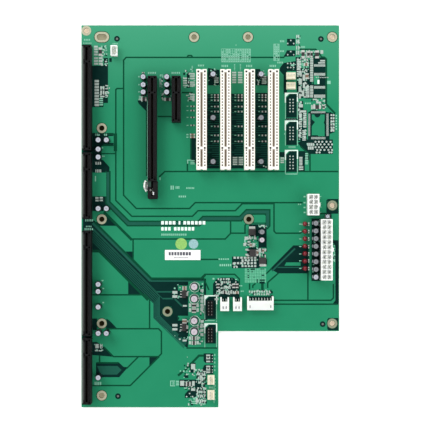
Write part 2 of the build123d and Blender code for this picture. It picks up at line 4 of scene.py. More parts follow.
import bmesh
import bpy
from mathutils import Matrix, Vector


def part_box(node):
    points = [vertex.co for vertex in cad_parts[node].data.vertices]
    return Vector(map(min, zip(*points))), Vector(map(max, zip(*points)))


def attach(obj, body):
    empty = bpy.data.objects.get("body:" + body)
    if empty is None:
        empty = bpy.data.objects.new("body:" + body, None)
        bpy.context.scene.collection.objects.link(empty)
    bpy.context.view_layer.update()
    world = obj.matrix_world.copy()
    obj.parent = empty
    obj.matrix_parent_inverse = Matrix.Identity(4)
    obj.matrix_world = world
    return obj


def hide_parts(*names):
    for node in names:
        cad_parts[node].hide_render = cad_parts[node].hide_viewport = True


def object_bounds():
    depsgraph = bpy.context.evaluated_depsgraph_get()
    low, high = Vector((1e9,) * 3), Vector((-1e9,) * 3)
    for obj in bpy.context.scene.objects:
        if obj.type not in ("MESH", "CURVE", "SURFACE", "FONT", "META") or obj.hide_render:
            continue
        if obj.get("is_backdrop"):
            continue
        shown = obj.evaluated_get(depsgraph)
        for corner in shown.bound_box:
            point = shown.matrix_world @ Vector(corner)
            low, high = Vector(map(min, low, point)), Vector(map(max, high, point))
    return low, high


# The looks of a passive backplane. The CAD frame gives the board, slots, headers, capacitors
# and lamps. This script adds their finish, the card contacts, the copper areas, print, pads
# and small parts of the board, and the solder joints below. Sizes are in millimetres in the
# code and become metres when a mesh is made. Places read from the photograph are in its
# pixels, 428 by 428, and the camera's own projection puts them on the board.

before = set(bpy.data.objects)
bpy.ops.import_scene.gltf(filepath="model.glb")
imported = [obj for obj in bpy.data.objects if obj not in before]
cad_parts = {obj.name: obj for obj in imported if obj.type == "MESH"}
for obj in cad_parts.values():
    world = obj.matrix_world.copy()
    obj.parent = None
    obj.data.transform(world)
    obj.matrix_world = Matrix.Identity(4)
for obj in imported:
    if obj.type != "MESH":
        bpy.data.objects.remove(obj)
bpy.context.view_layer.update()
random.seed(7)

MM = 0.001
BODY = "backplane"
board_low, board_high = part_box("circuit_board")
TOP = board_high.z / MM
UNDER = board_low.z / MM
HALF_WIDTH = board_high.x / MM
HALF_LENGTH = board_high.y / MM

# Camera: the photograph's size in pixels, the length of one on the board, and the camera's place
PHOTO_SIZE = 428.0
PHOTO_MIDDLE = PHOTO_SIZE / 2
BOARD_PIXEL = 0.855
CAMERA_X = 3.2
CAMERA_Y = 1.97
CAMERA_HEIGHT = 900.0
SENSOR_WIDTH = 36

# Thickness of what lies on the board, and the lift of a plate that crosses its like
ROOT = 0.01
ZONE_STEP = 0.02
TRACK_STEP = 0.035
GAP_STEP = 0.05
ISLAND_STEP = 0.065
PRINT_STEP = 0.08
PAD_STEP = 0.1
STICKER_STEP = 0.14
LIFT = 0.002


def spot(px, py, height=0.0):
    """Place in the frame of a photograph pixel, for a surface at a height above the board."""
    scale = BOARD_PIXEL * (1 - height / CAMERA_HEIGHT)
    return (px - PHOTO_MIDDLE) * scale + CAMERA_X, (PHOTO_MIDDLE - py) * scale + CAMERA_Y


# Materials

ROUGH_SPREAD = 0.07
BUMP_DEPTH = 0.05
GLARE_START = 95


def colour_mix(nodes, factor, **colours):
    """Colour mix node with its factor linked, and constant colours on the sockets named."""
    made = nodes.new("ShaderNodeMix")
    made.data_type = "RGBA"
    for socket, colour in colours.items():
        made.inputs[socket].default_value = (*colour, 1)
    made.id_data.links.new(factor, made.inputs["Factor"])
    return made


def finish(name, colour, rough, metal=0.0, mottle=0.08, mottle_size=2.0, grain=0.0, grain_size=0.2,
           gloss=0.3):
    """Procedural surface: its colour and roughness wander a little, and fine grain gives a bump."""
    made = bpy.data.materials.new(name)
    made.use_nodes = True
    nodes, links = made.node_tree.nodes, made.node_tree.links
    shader = nodes["Principled BSDF"]
    shader.inputs["Metallic"].default_value = metal
    shader.inputs["Specular IOR Level"].default_value = gloss
    place = nodes.new("ShaderNodeTexCoord")
    wander = nodes.new("ShaderNodeTexNoise")
    wander.inputs["Scale"].default_value = 1 / (mottle_size * MM)
    wander.inputs["Detail"].default_value = 4
    links.new(place.outputs["Object"], wander.inputs["Vector"])
    darker = [c * (1 - mottle) for c in colour]
    lighter = [min(1, c * (1 + mottle) + mottle * 0.01) for c in colour]
    shades = colour_mix(nodes, wander.outputs["Fac"], A=darker, B=lighter)
    links.new(shades.outputs["Result"], shader.inputs["Base Color"])
    spread = nodes.new("ShaderNodeMapRange")
    spread.inputs["To Min"].default_value = max(0.02, rough - ROUGH_SPREAD)
    spread.inputs["To Max"].default_value = min(1, rough + ROUGH_SPREAD)
    links.new(wander.outputs["Fac"], spread.inputs["Value"])
    links.new(spread.outputs["Result"], shader.inputs["Roughness"])
    if grain:
        fine = nodes.new("ShaderNodeTexNoise")
        fine.inputs["Scale"].default_value = 1 / (grain_size * MM)
        fine.inputs["Detail"].default_value = 3
        links.new(place.outputs["Object"], fine.inputs["Vector"])
        bump = nodes.new("ShaderNodeBump")
        bump.inputs["Strength"].default_value = grain
        bump.inputs["Distance"].default_value = BUMP_DEPTH * MM
        links.new(fine.outputs["Fac"], bump.inputs["Height"])
        links.new(bump.outputs["Normal"], shader.inputs["Normal"])
    return made


def mask_finish(name, copper_green, painted_glare_green, edge_colour):
    """Solder mask with a soft weave and bare laminate at the edges, and a painted glare that lightens it
    towards the top edge.
    """
    made = finish(
        name, copper_green, 0.42, mottle=0.06, mottle_size=20, grain=0.1, grain_size=0.5, gloss=0.16
    )
    nodes, links = made.node_tree.nodes, made.node_tree.links
    shader = nodes["Principled BSDF"]
    mottled = shader.inputs["Base Color"].links[0].from_socket
    place = nodes.new("ShaderNodeTexCoord")
    parts = nodes.new("ShaderNodeSeparateXYZ")
    links.new(place.outputs["Object"], parts.inputs["Vector"])
    # Painted glare: the mask's green blends towards a lighter green near the top edge.
    along = nodes.new("ShaderNodeMapRange")
    along.inputs["From Min"].default_value = GLARE_START * MM
    along.inputs["From Max"].default_value = HALF_LENGTH * MM
    links.new(parts.outputs["Y"], along.inputs["Value"])
    toned = colour_mix(nodes, along.outputs["Result"], B=painted_glare_green)
    links.new(mottled, toned.inputs["A"])
    shape = nodes.new("ShaderNodeNewGeometry")
    facing = nodes.new("ShaderNodeSeparateXYZ")
    links.new(shape.outputs["Normal"], facing.inputs["Vector"])
    flat = nodes.new("ShaderNodeMath")
    flat.operation = "ABSOLUTE"
    links.new(facing.outputs["Z"], flat.inputs[0])
    edged = colour_mix(nodes, flat.outputs["Value"], A=edge_colour)
    links.new(toned.outputs["Result"], edged.inputs["B"])
    links.new(edged.outputs["Result"], shader.inputs["Base Color"])
    return made


def nylon_finish(name, colour):
    """Natural nylon, which lets a little light through its walls."""
    made = finish(name, colour, 0.45, mottle=0.03, grain=0.2, grain_size=0.3)
    shader = made.node_tree.nodes["Principled BSDF"]
    shader.inputs["Subsurface Weight"].default_value = 0.75
    shader.inputs["Subsurface Radius"].default_value = (1.0, 1.0, 0.9)
    shader.inputs["Subsurface Scale"].default_value = 3.5 * MM
    return made


def card_finish(name, colour, glow):
    """Paper or card of the stage, with a faint glow against the board's shade."""
    made = finish(name, colour, 0.9, mottle=0.004, mottle_size=300, gloss=0.1)
    shader = made.node_tree.nodes["Principled BSDF"]
    shader.inputs["Emission Color"].default_value = (*glow, 1)
    shader.inputs["Emission Strength"].default_value = 1
    return made


def lens_finish(name, colour):
    """Clear tinted plastic."""
    made = finish(name, colour, 0.15, mottle=0.04, gloss=0.5)
    shader = made.node_tree.nodes["Principled BSDF"]
    shader.inputs["Transmission Weight"].default_value = 0.25
    shader.inputs["IOR"].default_value = 1.5
    return made


# The second green is the painted glare near the board's top edge.
GREEN = mask_finish("solder_mask", (0.0135, 0.222, 0.108), (0.045, 0.29, 0.16), (0.2, 0.22, 0.1))
GAP_GREEN = finish("mask_over_gap", (0.0004, 0.058, 0.026), 0.45, mottle=0.12, mottle_size=6, gloss=0.08)
TRACK_GREEN = finish("mask_over_track", (0.009, 0.088, 0.058), 0.45, mottle=0.1, mottle_size=5, gloss=0.1)
LAMINATE = finish("mask_over_laminate", (0.0003, 0.02, 0.0165), 0.45, mottle=0.2, mottle_size=5, gloss=0.06)
PRINT = finish("white_print", (0.74, 0.88, 0.81), 0.75, mottle=0.05, mottle_size=0.5, gloss=0.15)
FAINT_PRINT = finish("faint_print", (0.105, 0.4, 0.245), 0.75, mottle=0.35, mottle_size=1.1, gloss=0.15)
PALE_PRINT = finish("thin_print", (0.23, 0.52, 0.38), 0.75, mottle=0.15, mottle_size=0.5, gloss=0.15)
TIN = finish("tin_plate", (0.6, 0.63, 0.59), 0.4, metal=0.45, mottle=0.15, mottle_size=0.8, grain=0.1)
PAD_TIN = finish("pad_tin", (0.46, 0.55, 0.5), 0.45, metal=0.3, mottle=0.25, mottle_size=0.9)
AGED_TIN = finish("aged_tin", (0.16, 0.17, 0.15), 0.5, metal=0.3, mottle=0.2, mottle_size=0.8)
PLATING = finish("hole_plating", (0.46, 0.455, 0.325), 0.45, metal=0.25, mottle=0.12, mottle_size=1.5)
DULL_PLATING = finish("dull_plating", (0.25, 0.28, 0.19), 0.5, metal=0.25, mottle=0.12, mottle_size=1.5)
# Hole liners, far darker than the plating: painted shade inside the holes.
SHADED_BORE = finish("hole_bore_painted_shade", (0.1, 0.07, 0.035), 0.5, metal=0.2, mottle=0.15, mottle_size=1.5)
PAPER = card_finish("floor_paper", (0.93, 0.93, 0.93), (0.3, 0.3, 0.3))
# Cards under the holes: a dark one for painted shadow, and tan and pale ones that glow with painted light.
SHADOW_CARD = card_finish("painted_shadow_card", (0.045, 0.036, 0.013), (0, 0, 0))
TAN_GLOW_CARD = card_finish("tan_glow_card", (0.27, 0.25, 0.17), (0.2, 0.19, 0.12))
PALE_GLOW_CARD = card_finish("pale_glow_card", (0.9, 0.8, 0.65), (0.42, 0.33, 0.245))
SOLDER = finish("solder", (0.6, 0.62, 0.62), 0.3, metal=0.8, mottle=0.2, mottle_size=0.6, grain=0.2)
SPRING = finish("contact_spring", (0.26, 0.205, 0.15), 0.45, metal=0.2, mottle=0.2, mottle_size=0.7)
DIM_SPRING = finish("shaded_spring", (0.05, 0.038, 0.026), 0.5, metal=0.3, mottle=0.2, mottle_size=0.7)
TIP = finish("contact_tip", (0.09, 0.09, 0.09), 0.45, metal=0.4, mottle=0.2, mottle_size=0.7)
# Dark patch for a missing contact window: painted shade of the opening.
BUS_WINDOW_SHADE = finish("painted_window_shade", (0.05, 0.046, 0.038), 0.5, metal=0.2, mottle=0.25, mottle_size=0.8)
# Lighter greys for the host slots' outer edge: painted sheen.
EDGE_SHEEN = finish("slot_edge", (0.125, 0.142, 0.13), 0.5, mottle=0.15, mottle_size=4, grain=0.2)
RIB_SHEEN = finish("slot_edge_ribs", (0.058, 0.066, 0.06), 0.5, mottle=0.2, grain=0.2)
LATCH_SHEEN = finish("latch_sheen", (0.022, 0.05, 0.038), 0.4, mottle=0.3, mottle_size=0.9)
# Dark floor of pits and slits: painted shade in recesses.
PIT_SHADE = finish("painted_pit_shade", (0.022, 0.02, 0.018), 0.6, mottle=0.25, mottle_size=1, gloss=0.1)
BLACK_NYLON = finish(
    "black_nylon", (0.0045, 0.0045, 0.005), 0.55, mottle=0.2, grain=0.3, grain_size=0.25, gloss=0.14
)
RIB_BLACK = finish(
    "black_nylon_ribs", (0.012, 0.012, 0.013), 0.5, mottle=0.2, grain=0.2, grain_size=0.25, gloss=0.16
)
IVORY_NYLON = finish("ivory_nylon", (0.86, 0.83, 0.76), 0.5, mottle=0.03, grain=0.2, grain_size=0.3)
WHITE_NYLON = nylon_finish("white_nylon", (0.83, 0.86, 0.81))
CREAM_NYLON = finish("cream_nylon", (0.78, 0.74, 0.58), 0.5, mottle=0.04, grain=0.2, grain_size=0.3)
RED_LENS = lens_finish("red_lens", (0.24, 0.005, 0.016))
SLEEVE = finish("can_sleeve", (0.006, 0.006, 0.011), 0.35, mottle=0.15, gloss=0.2)
STRIPE = finish("can_stripe", (0.4, 0.4, 0.46), 0.4, mottle=0.05)
CAN_TOP = finish("can_top", (0.5, 0.53, 0.6), 0.42, metal=0.3, mottle=0.1, grain=0.1)
DIM_CAN_TOP = finish("dim_can_top", (0.26, 0.28, 0.3), 0.42, metal=0.3, mottle=0.15, grain=0.1)
WARM_CAN_TOP = finish("warm_can_top", (0.62, 0.56, 0.62), 0.42, metal=0.3, mottle=0.1, grain=0.1)
COMPOUND = finish("mould_compound", (0.03, 0.028, 0.028), 0.55, mottle=0.2, grain=0.35, grain_size=0.15)
CERAMIC = finish("ceramic_body", (0.2, 0.13, 0.09), 0.5, mottle=0.15, mottle_size=0.6)
LABEL = finish("label_paper", (0.84, 0.85, 0.84), 0.75, mottle=0.02)
LABEL_GREEN = finish("sticker_green", (0.24, 0.48, 0.12), 0.6, mottle=0.35, mottle_size=1.6)
LABEL_BLUE = finish("sticker_pale", (0.26, 0.44, 0.45), 0.6, mottle=0.4, mottle_size=1.0)
INK = finish("label_ink", (0.08, 0.08, 0.1), 0.7, mottle=0.3, mottle_size=0.6)

# Mesh building

HIDDEN_SEAM = 0.01
WELD = 0.002
SCATTER_LIFT = 0.0007


def corners(x0, y0, x1, y1):
    """Corners of a rectangle, one after another."""
    return [(x0, y0), (x1, y0), (x1, y1), (x0, y1)]


def square(x, y, half):
    """Corners of a square around a place."""
    return corners(x - half, y - half, x + half, y + half)


def arc(x, y, radius, degrees):
    """Points of an arc at the angles given."""
    turns = [math.radians(angle) for angle in degrees]
    return [(x + radius * math.cos(turn), y + radius * math.sin(turn)) for turn in turns]


def turning(outline):
    """Twice the area of an outline, negative where its points run clockwise."""
    return sum(a[0] * b[1] - b[0] * a[1] for a, b in zip(outline, outline[1:] + outline[:1]))


def linked(name, data):
    """Object of a mesh, light or camera, put in the scene."""
    made = bpy.data.objects.new(name, data)
    bpy.context.scene.collection.objects.link(made)
    return made


def mesh_object(name, points, faces, material):
    """Object of points in millimetres and the faces between them."""
    mesh = bpy.data.meshes.new(name)
    mesh.from_pydata([(x * MM, y * MM, z * MM) for x, y, z in points], [], faces)
    mesh.validate()
    mesh.materials.append(material)
    return linked(name, mesh)


def shade_smooth(mesh, angle):
    """Smooth shading, with edges sharper than the angle in degrees left sharp."""
    for face in mesh.polygons:
        face.use_smooth = True
    mesh.set_sharp_from_angle(angle=math.radians(angle))


class Shape:
    """Points and faces gathered in millimetres, made into one object at the end."""

    def __init__(self):
        self.points = []
        self.faces = []

    def prism(self, outline, low, high):
        """Closed block over an outline of (x, y) points."""
        if turning(outline) < 0:
            outline = outline[::-1]
        first = len(self.points)
        count = len(outline)
        self.points += [(x, y, low) for x, y in outline]
        self.points += [(x, y, high) for x, y in outline]
        self.faces.append(tuple(first + i for i in reversed(range(count))))
        self.faces.append(tuple(first + count + i for i in range(count)))
        for i in range(count):
            j = (i + 1) % count
            self.faces.append((first + i, first + j, first + count + j, first + count + i))

    def block(self, x0, y0, x1, y1, low, high):
        x0, x1 = sorted((x0, x1))
        y0, y1 = sorted((y0, y1))
        self.prism(corners(x0, y0, x1, y1), low, high)

    def spin(self, x, y, profile, sides=20):
        """Turned piece from a profile of (radius, height) pairs, upwards, its ends on the axis."""
        rings = []
        for radius, height in profile:
            rings.append(len(self.points))
            if radius == 0:
                self.points.append((x, y, height))
                continue
            for i in range(sides):
                turn = 2 * math.pi * i / sides
                self.points.append((x + radius * math.cos(turn), y + radius * math.sin(turn), height))
        steps = list(zip(rings, profile))
        for (a, (ra, _)), (b, (rb, _)) in zip(steps, steps[1:]):
            for i in range(sides):
                j = (i + 1) % sides
                if ra == 0:
                    self.faces.append((a, b + j, b + i))
                elif rb == 0:
                    self.faces.append((a + i, a + j, b))
                else:
                    self.faces.append((a + i, a + j, b + j, b + i))

    def disc(self, x, y, radius, low, high, sides=20):
        self.spin(x, y, [(0, low), (radius, low), (radius, high), (0, high)], sides)

    def washer(self, outline, hole, low, high):
        """Flat ring between two outlines with the same number of points."""
        first = len(self.points)
        count = len(outline)
        for z in (low, high):
            self.points += [(x, y, z) for x, y in outline]
            self.points += [(x, y, z) for x, y in hole]
        for i in range(count):
            j = (i + 1) % count
            low_out, low_in = first, first + count
            top_out, top_in = first + 2 * count, first + 3 * count
            self.faces.append((low_out + i, low_out + j, top_out + j, top_out + i))
            self.faces.append((low_in + j, low_in + i, top_in + i, top_in + j))
            self.faces.append((top_out + i, top_out + j, top_in + j, top_in + i))
            self.faces.append((low_out + j, low_out + i, low_in + i, low_in + j))

    def make(self, name, material, body=BODY, slot="solder_mask", smooth=False):
        """Object of all that was gathered, in its material and on its body. The slot argument is not used.
        """
        made = mesh_object(name, self.points, self.faces, material)
        if smooth:
            shade_smooth(made.data, 35)
        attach(made, body)
        return made


def circle(x, y, radius, count=36, stretch=0.0):
    """Points of a circle, or of a long hole stretched along x."""
    points = []
    for i in range(count):
        turn = 2 * math.pi * (i + 0.5) / count
        side = math.copysign(stretch, math.cos(turn))
        points.append((x + side + radius * math.cos(turn), y + radius * math.sin(turn)))
    return points


def layer(step, below=False):
    """Lowest and highest level of a thin layer on the board's upper or under face."""
    return (UNDER - step, UNDER + ROOT) if below else (TOP - ROOT, TOP + step)


def plate(shape, x0, y0, x1, y1, step):
    """Thin plate on the board over a rectangle of photograph pixels."""
    left, upper = spot(x0, y0)
    right, lower = spot(x1, y1)
    shape.block(left, lower, right, upper, *layer(step))


def plates(shape, boxes, step):
    """Plates over several rectangles."""
    for box in boxes:
        plate(shape, *box, step)


def moved(box, x, y):
    """Rectangle of photograph pixels moved right by x and down by y."""
    return box[0] + x, box[1] + y, box[2] + x, box[3] + y


def area(shape, points, step):
    """Thin plate on the board over a polygon of photograph pixels."""
    shape.prism([spot(*p) for p in points], *layer(step))


def dots(shape, places, radius, step, sides=14):
    """Round plates at photograph pixels, their radius in millimetres."""
    for place in places:
        shape.disc(*spot(*place), radius, *layer(step), sides)


def comb(shape, box, count, share, step, across=False):
    """Equal plates that fill a rectangle one after another, down it or across it."""
    x0, y0, x1, y1 = box
    for i in range(count):
        if across:
            pitch = (x1 - x0) / count
            plate(shape, x0 + i * pitch, y0, x0 + (i + share) * pitch, y1, step)
        else:
            pitch = (y1 - y0) / count
            plate(shape, x0, y0 + i * pitch, x1, y0 + (i + share) * pitch, step)


def scatter(shape, box, count, sizes, step):
    """Small plates strewn over a rectangle of photograph pixels, each a hair above the last."""
    x0, y0, x1, y1 = box
    for i in range(count):
        width, height = random.uniform(*sizes), random.uniform(*sizes)
        left, level = random.uniform(x0, x1 - width), random.uniform(y0, y1 - height)
        plate(shape, left, level, left + width, level + height, step + SCATTER_LIFT * i)


def around_hole(outline, corner, place):
    """Outline that also runs round a square opening, which it reaches from one of its corners."""
    px, py = place
    opening = square(px, py, HOLE_OPENING)
    if turning(outline) > 0:
        opening.reverse()
    start = outline[corner]
    nearest = min(range(4), key=lambda i: math.dist(opening[i], start))
    opening = opening[nearest:] + opening[:nearest]
    last = Vector(opening[0]) + (Vector(opening[-1]) - Vector(opening[0])) * HIDDEN_SEAM
    after = outline[(corner + 1) % len(outline)]
    back = Vector(start) + (Vector(after) - Vector(start)) * HIDDEN_SEAM
    return outline[:corner + 1] + opening + [tuple(last), tuple(back)] + outline[corner + 1:]


def stroke(shape, points, width, step, below=False):
    """Thin line of constant width along photograph pixels, mitred at its corners."""
    line = [Vector(spot(*p)) for p in points]
    width = width * BOARD_PIXEL
    sides = []
    for i, here in enumerate(line):
        before = (here - line[i - 1]).normalized() if i else (line[1] - here).normalized()
        after = (line[i + 1] - here).normalized() if i < len(line) - 1 else before
        normal = Vector((-(before + after).y, (before + after).x)).normalized()
        reach = width / 2 / max(0.4, normal.dot(Vector((-before.y, before.x))))
        sides.append((here + normal * reach, here - normal * reach))
    for (a, b), (c, d) in zip(sides, sides[1:]):
        shape.prism([tuple(a), tuple(b), tuple(d), tuple(c)], *layer(step, below))


def softened(node, material, bevel=0.18, body=BODY):
    """Copy of a CAD node with its edges rounded, which is shown in the node's place."""
    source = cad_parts[node]
    mesh = bpy.data.meshes.new(node + "_form")
    form = bmesh.new()
    form.from_mesh(source.data)
    bmesh.ops.remove_doubles(form, verts=form.verts, dist=WELD * MM)
    bmesh.ops.dissolve_limit(form, angle_limit=math.radians(1), verts=form.verts, edges=form.edges)
    sharp = [e for e in form.edges if len(e.link_faces) == 2 and e.calc_face_angle(0) > math.radians(30)]
    bmesh.ops.bevel(
        form, geom=sharp, offset=bevel * MM, segments=2, profile=0.6, affect="EDGES", clamp_overlap=True
    )
    form.to_mesh(mesh)
    form.free()
    mesh.materials.append(material)
    shade_smooth(mesh, 50)
    made = linked(node + "_form", mesh)
    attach(made, body)
    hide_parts(node)


def islands(node):
    """Lowest and highest corner, in millimetres, of each separate solid of a CAD node."""
    form = bmesh.new()
    form.from_mesh(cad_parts[node].data)
    bmesh.ops.remove_doubles(form, verts=form.verts, dist=WELD * MM)
    left = set(form.verts)
    found = []
    while left:
        group, edge = [], [left.pop()]
        while edge:
            vert = edge.pop()
            group.append(vert.co / MM)
            for link in vert.link_edges:
                other = link.other_vert(vert)
                if other in left:
                    left.discard(other)
                    edge.append(other)
        low = tuple(min(p[i] for p in group) for i in range(3))
        high = tuple(max(p[i] for p in group) for i in range(3))
        found.append((low, high))
    form.free()
    return sorted(found)


def middles(node):
    """Middle of each separate solid of a CAD node, from above."""
    return [((low[0] + high[0]) / 2, (low[1] + high[1]) / 2) for low, high in islands(node)]


# Stage: floor, light and camera

FLOOR_HALF = 3000.0
floor_corners = [(x, y, 0) for x, y in square(0, 0, FLOOR_HALF)]
mesh_object("floor", floor_corners, [(0, 1, 2, 3)], PAPER)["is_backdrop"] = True
bpy.context.scene.view_settings.view_transform = "Standard"

# The room is bright all round and dim straight above, so that flat gloss stays dark there. The
# fade runs between two heights of the direction.
FADE_HEIGHTS = (0.72, 0.97)
FADE_LIGHT = (1.2, 0.06)
world = bpy.data.worlds.new("studio")
bpy.context.scene.world = world
world.use_nodes = True
room, room_links = world.node_tree.nodes, world.node_tree.links
direction = room.new("ShaderNodeTexCoord")
axes = room.new("ShaderNodeSeparateXYZ")
room_links.new(direction.outputs["Generated"], axes.inputs["Vector"])
height_fade = room.new("ShaderNodeMapRange")
height_fade.inputs["From Min"].default_value = FADE_HEIGHTS[0]
height_fade.inputs["From Max"].default_value = FADE_HEIGHTS[1]
height_fade.inputs["To Min"].default_value = FADE_LIGHT[0]
height_fade.inputs["To Max"].default_value = FADE_LIGHT[1]
room_links.new(axes.outputs["Z"], height_fade.inputs["Value"])
room_links.new(height_fade.outputs["Result"], room["Background"].inputs["Strength"])
room["Background"].inputs["Color"].default_value = (1, 1, 1, 1)


def soft_light(name, place, size, power):
    """Square area light aimed at the board."""
    lamp = bpy.data.lights.new(name, "AREA")
    lamp.shape = "SQUARE"
    lamp.size = size
    lamp.energy = power
    made = linked(name, lamp)
    made.location = place
    made.rotation_mode = "QUATERNION"
    made.rotation_quaternion = (-Vector(place)).to_track_quat("-Z", "Y")


soft_light("key", (-0.8, 0.9, 0.95), 0.9, 12)
soft_light("fill", (1.0, -0.3, 0.95), 1.1, 7)

view = bpy.data.cameras.new("camera")
view.sensor_width = SENSOR_WIDTH
view.lens = SENSOR_WIDTH / 2 / (PHOTO_MIDDLE * BOARD_PIXEL / CAMERA_HEIGHT)
view.clip_start = 0.01
camera = linked("camera", view)
camera.location = (CAMERA_X * MM, CAMERA_Y * MM, (TOP + CAMERA_HEIGHT) * MM)
bpy.context.scene.camera = camera

# Board: zones without copper, and among them a dark sheet of painted shade beside the fan headers, tracks
# across them, and the gaps between the copper areas. All places in these sections are photograph pixels.

board_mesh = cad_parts["circuit_board"].data
board_mesh.materials.clear()
board_mesh.materials.append(GREEN)

ZONES = {
    "beside the first host slot": (
        (92.5, 65.6), (103.6, 65.6), (103.6, 58), (108, 58), (108, 103), (103.5, 103), (103.5, 107),
        (92, 107),
    ),
    "around the first host cans": (
        (92.5, 133), (113.5, 133), (113.5, 136), (108.5, 136), (108.5, 143), (113.5, 143), (113.5, 146),
        (101.5, 146), (101.5, 160), (92.5, 160),
    ),
    "over the second host gap": (
        (92.5, 160), (103, 160), (109.5, 167), (109.5, 168), (106, 168), (106, 172.6), (92.5, 172.6),
    ),
    "right of that gap": corners(106, 168, 109.5, 202),
    "pads of the second slot": ((92.5, 196.3), (109.5, 196.3), (109.5, 204.5), (103, 211), (92.5, 211)),
    "below the middle hole": ((105, 213), (117.5, 225.8), (92, 225.8), (92, 222), (98, 222), (104, 222)),
    "wedge at the upper hole corner": ((137.5, 100.5), (147, 100.5), (147, 112), (138.6, 103.5)),
    "between the first host slots": corners(82.4, 147.5, 92.5, 152.5),
    "between the middle host slots": corners(83, 216.5, 92.5, 231.5),
    "between the last host slots": corners(82.4, 332, 92.5, 339),
    "under the end hole of the bundle": ((125.6, 251.5), (133.2, 251.5), (133.2, 259.6)),
    "lower left wedge": ((106.5, 318.5), (110, 321), (117.5, 328.9), (106, 328.9)),
    "lower left band": corners(92.5, 318.5, 97, 330),
    "third slot wedge": ((104.5, 347.5), (113.8, 356.8), (92.5, 355), (92.5, 342), (97, 342)),
    "arrow": ((96, 362.4), (118.8, 362.4), (123.8, 367), (128.2, 367), (119.2, 377.2), (96, 377.2)),
    "wedge right of the arrow": ((149.4, 356.6), (159.6, 356.6), (149.4, 366.8)),
    "left of the first bus slot": ((190.2, 138), (196, 138), (196, 164), (191.2, 160)),
    "above it": ((189.5, 71.5), (190, 88), (186.8, 88), (186.8, 74.3)),
    "first bus gap, top": ((208, 68), (219.5, 70), (219.5, 85.4), (208, 85.4)),
    "first bus gap": corners(206.5, 93.7, 219.5, 168.5),
    "second bus gap": corners(231, 93.7, 243.5, 168.5),
    "third bus gap, top": ((255.3, 69), (260, 69), (262, 76), (267.5, 76), (267.5, 85.4), (255.3, 85.4)),
    "third bus gap": corners(255.3, 92.8, 267.5, 168.5),
    "right of the last bus slot": corners(279.5, 152, 285.5, 157),
    # Painted shade: a dark sheet beside the fan headers.
    "painted shade left of the fan headers": (
        (283.6, 63), (296, 61), (296, 71), (287, 71), (287, 93.8), (283.6, 93.8), (283.6, 75),
        (279.8, 71), (279.8, 68),
    ),
    "right strip of the main header": (
        (332.4, 240.2), (338.6, 240.2), (338.6, 304.6), (335.4, 304.6), (335.4, 246), (334.2, 243.4),
        (332.4, 242.6),
    ),
    "right of the cpu header": corners(326.5, 213.7, 331.5, 219),
    "right of the last box header": (
        (298.4, 151), (304.5, 151), (309, 156), (309, 160), (304.8, 160), (304.8, 171), (298.4, 171),
    ),
    "right of the first host slot": corners(109.3, 58, 111.8, 62),
    "wedge at its foot": ((332, 304.6), (335.4, 300.4), (335.4, 304.6)),
    "below the lamps": ((293.2, 245.4), (308.6, 245.4), (308.6, 273.4), (278.2, 273.4), (270, 268.9)),
    "power cans": corners(311.5, 218.5, 320.6, 281),
    "regulators": ((249, 224.3), (266.6, 224.3), (266.6, 233.5), (258, 236.2), (248.4, 236.2)),
    "regulator pads": (
        (232, 256.6), (258, 256.6), (267, 259.5), (267, 264.3), (258, 268.2), (232, 268.2),
    ),
    "regulator middle": ((249, 247.6), (261, 247.6), (261, 256.6), (247, 256.6), (247, 249)),
    "signal wafer ears": corners(248.2, 296.2, 272.6, 301.2),
    "first switch wafer ears": corners(221.2, 297, 228, 302),
    "second switch wafer ears": corners(233.9, 297, 240.7, 302),
    "right of the fine pads": ((329.6, 111.5), (335, 114.5), (335, 132), (329.6, 134)),
    "last box header's pads": ((203.6, 353.4), (213.4, 353.4), (213.4, 363), (205.4, 363), (203.6, 361)),
    "pads below it": ((204.6, 364.8), (213.4, 364.8), (213.4, 374), (202.4, 374), (202.4, 369)),
    "switch chips": (
        (216, 279.5), (221, 277.6), (233, 277.6), (239.5, 282), (239.5, 297), (213, 297), (213, 284),
    ),
    "transistors above": corners(287, 38.8, 295.3, 45.8),
    "transistors below": ((287, 50.3), (295.3, 50.3), (295.3, 56.3), (283.5, 56.8), (285.5, 53.5)),
    "power area at the right": (
        (312.6, 57.5), (326.3, 57.5), (326.3, 98.6), (305, 98.6), (305, 84), (312.6, 84),
    ),
    "centre of the right cluster": (
        (295.5, 57), (304, 57), (304, 60), (312, 60), (312, 86), (306, 98), (297, 98),
    ),
    "below the right cluster": corners(297.5, 101, 306.8, 141),
    "beyond the fine pads": ((312.5, 109.7), (329.6, 112.5), (329.6, 140), (308, 140), (308, 112.5)),
    "zigzag pads": (
        (303.5, 139.5), (332.8, 139.5), (332.8, 154), (309, 154), (300.3, 146.2), (297.5, 143),
    ),
    "host resistors": corners(196.4, 371.5, 206.4, 380),
    "host resistors, lower": corners(196.4, 389.6, 206.4, 404),
    "host chips": (
        (179.4, 379.6), (205, 379.6), (205, 389.4), (190.6, 389.4), (190.6, 387.2), (179.4, 387.2),
    ),
    "lower leg transistor": (
        (188, 390.4), (196.4, 389.6), (196.4, 397.8), (184.8, 397.8), (184.8, 394.4),
    ),
    "upper leg transistor": corners(190.6, 370.4, 193.6, 372.8),
    "left of its pads": corners(183.8, 375.2, 188.4, 378),
    "warm can": corners(258.4, 233.4, 266.6, 247.6),
    "above the host chips": corners(190.2, 362.6, 195.6, 370.4),
}
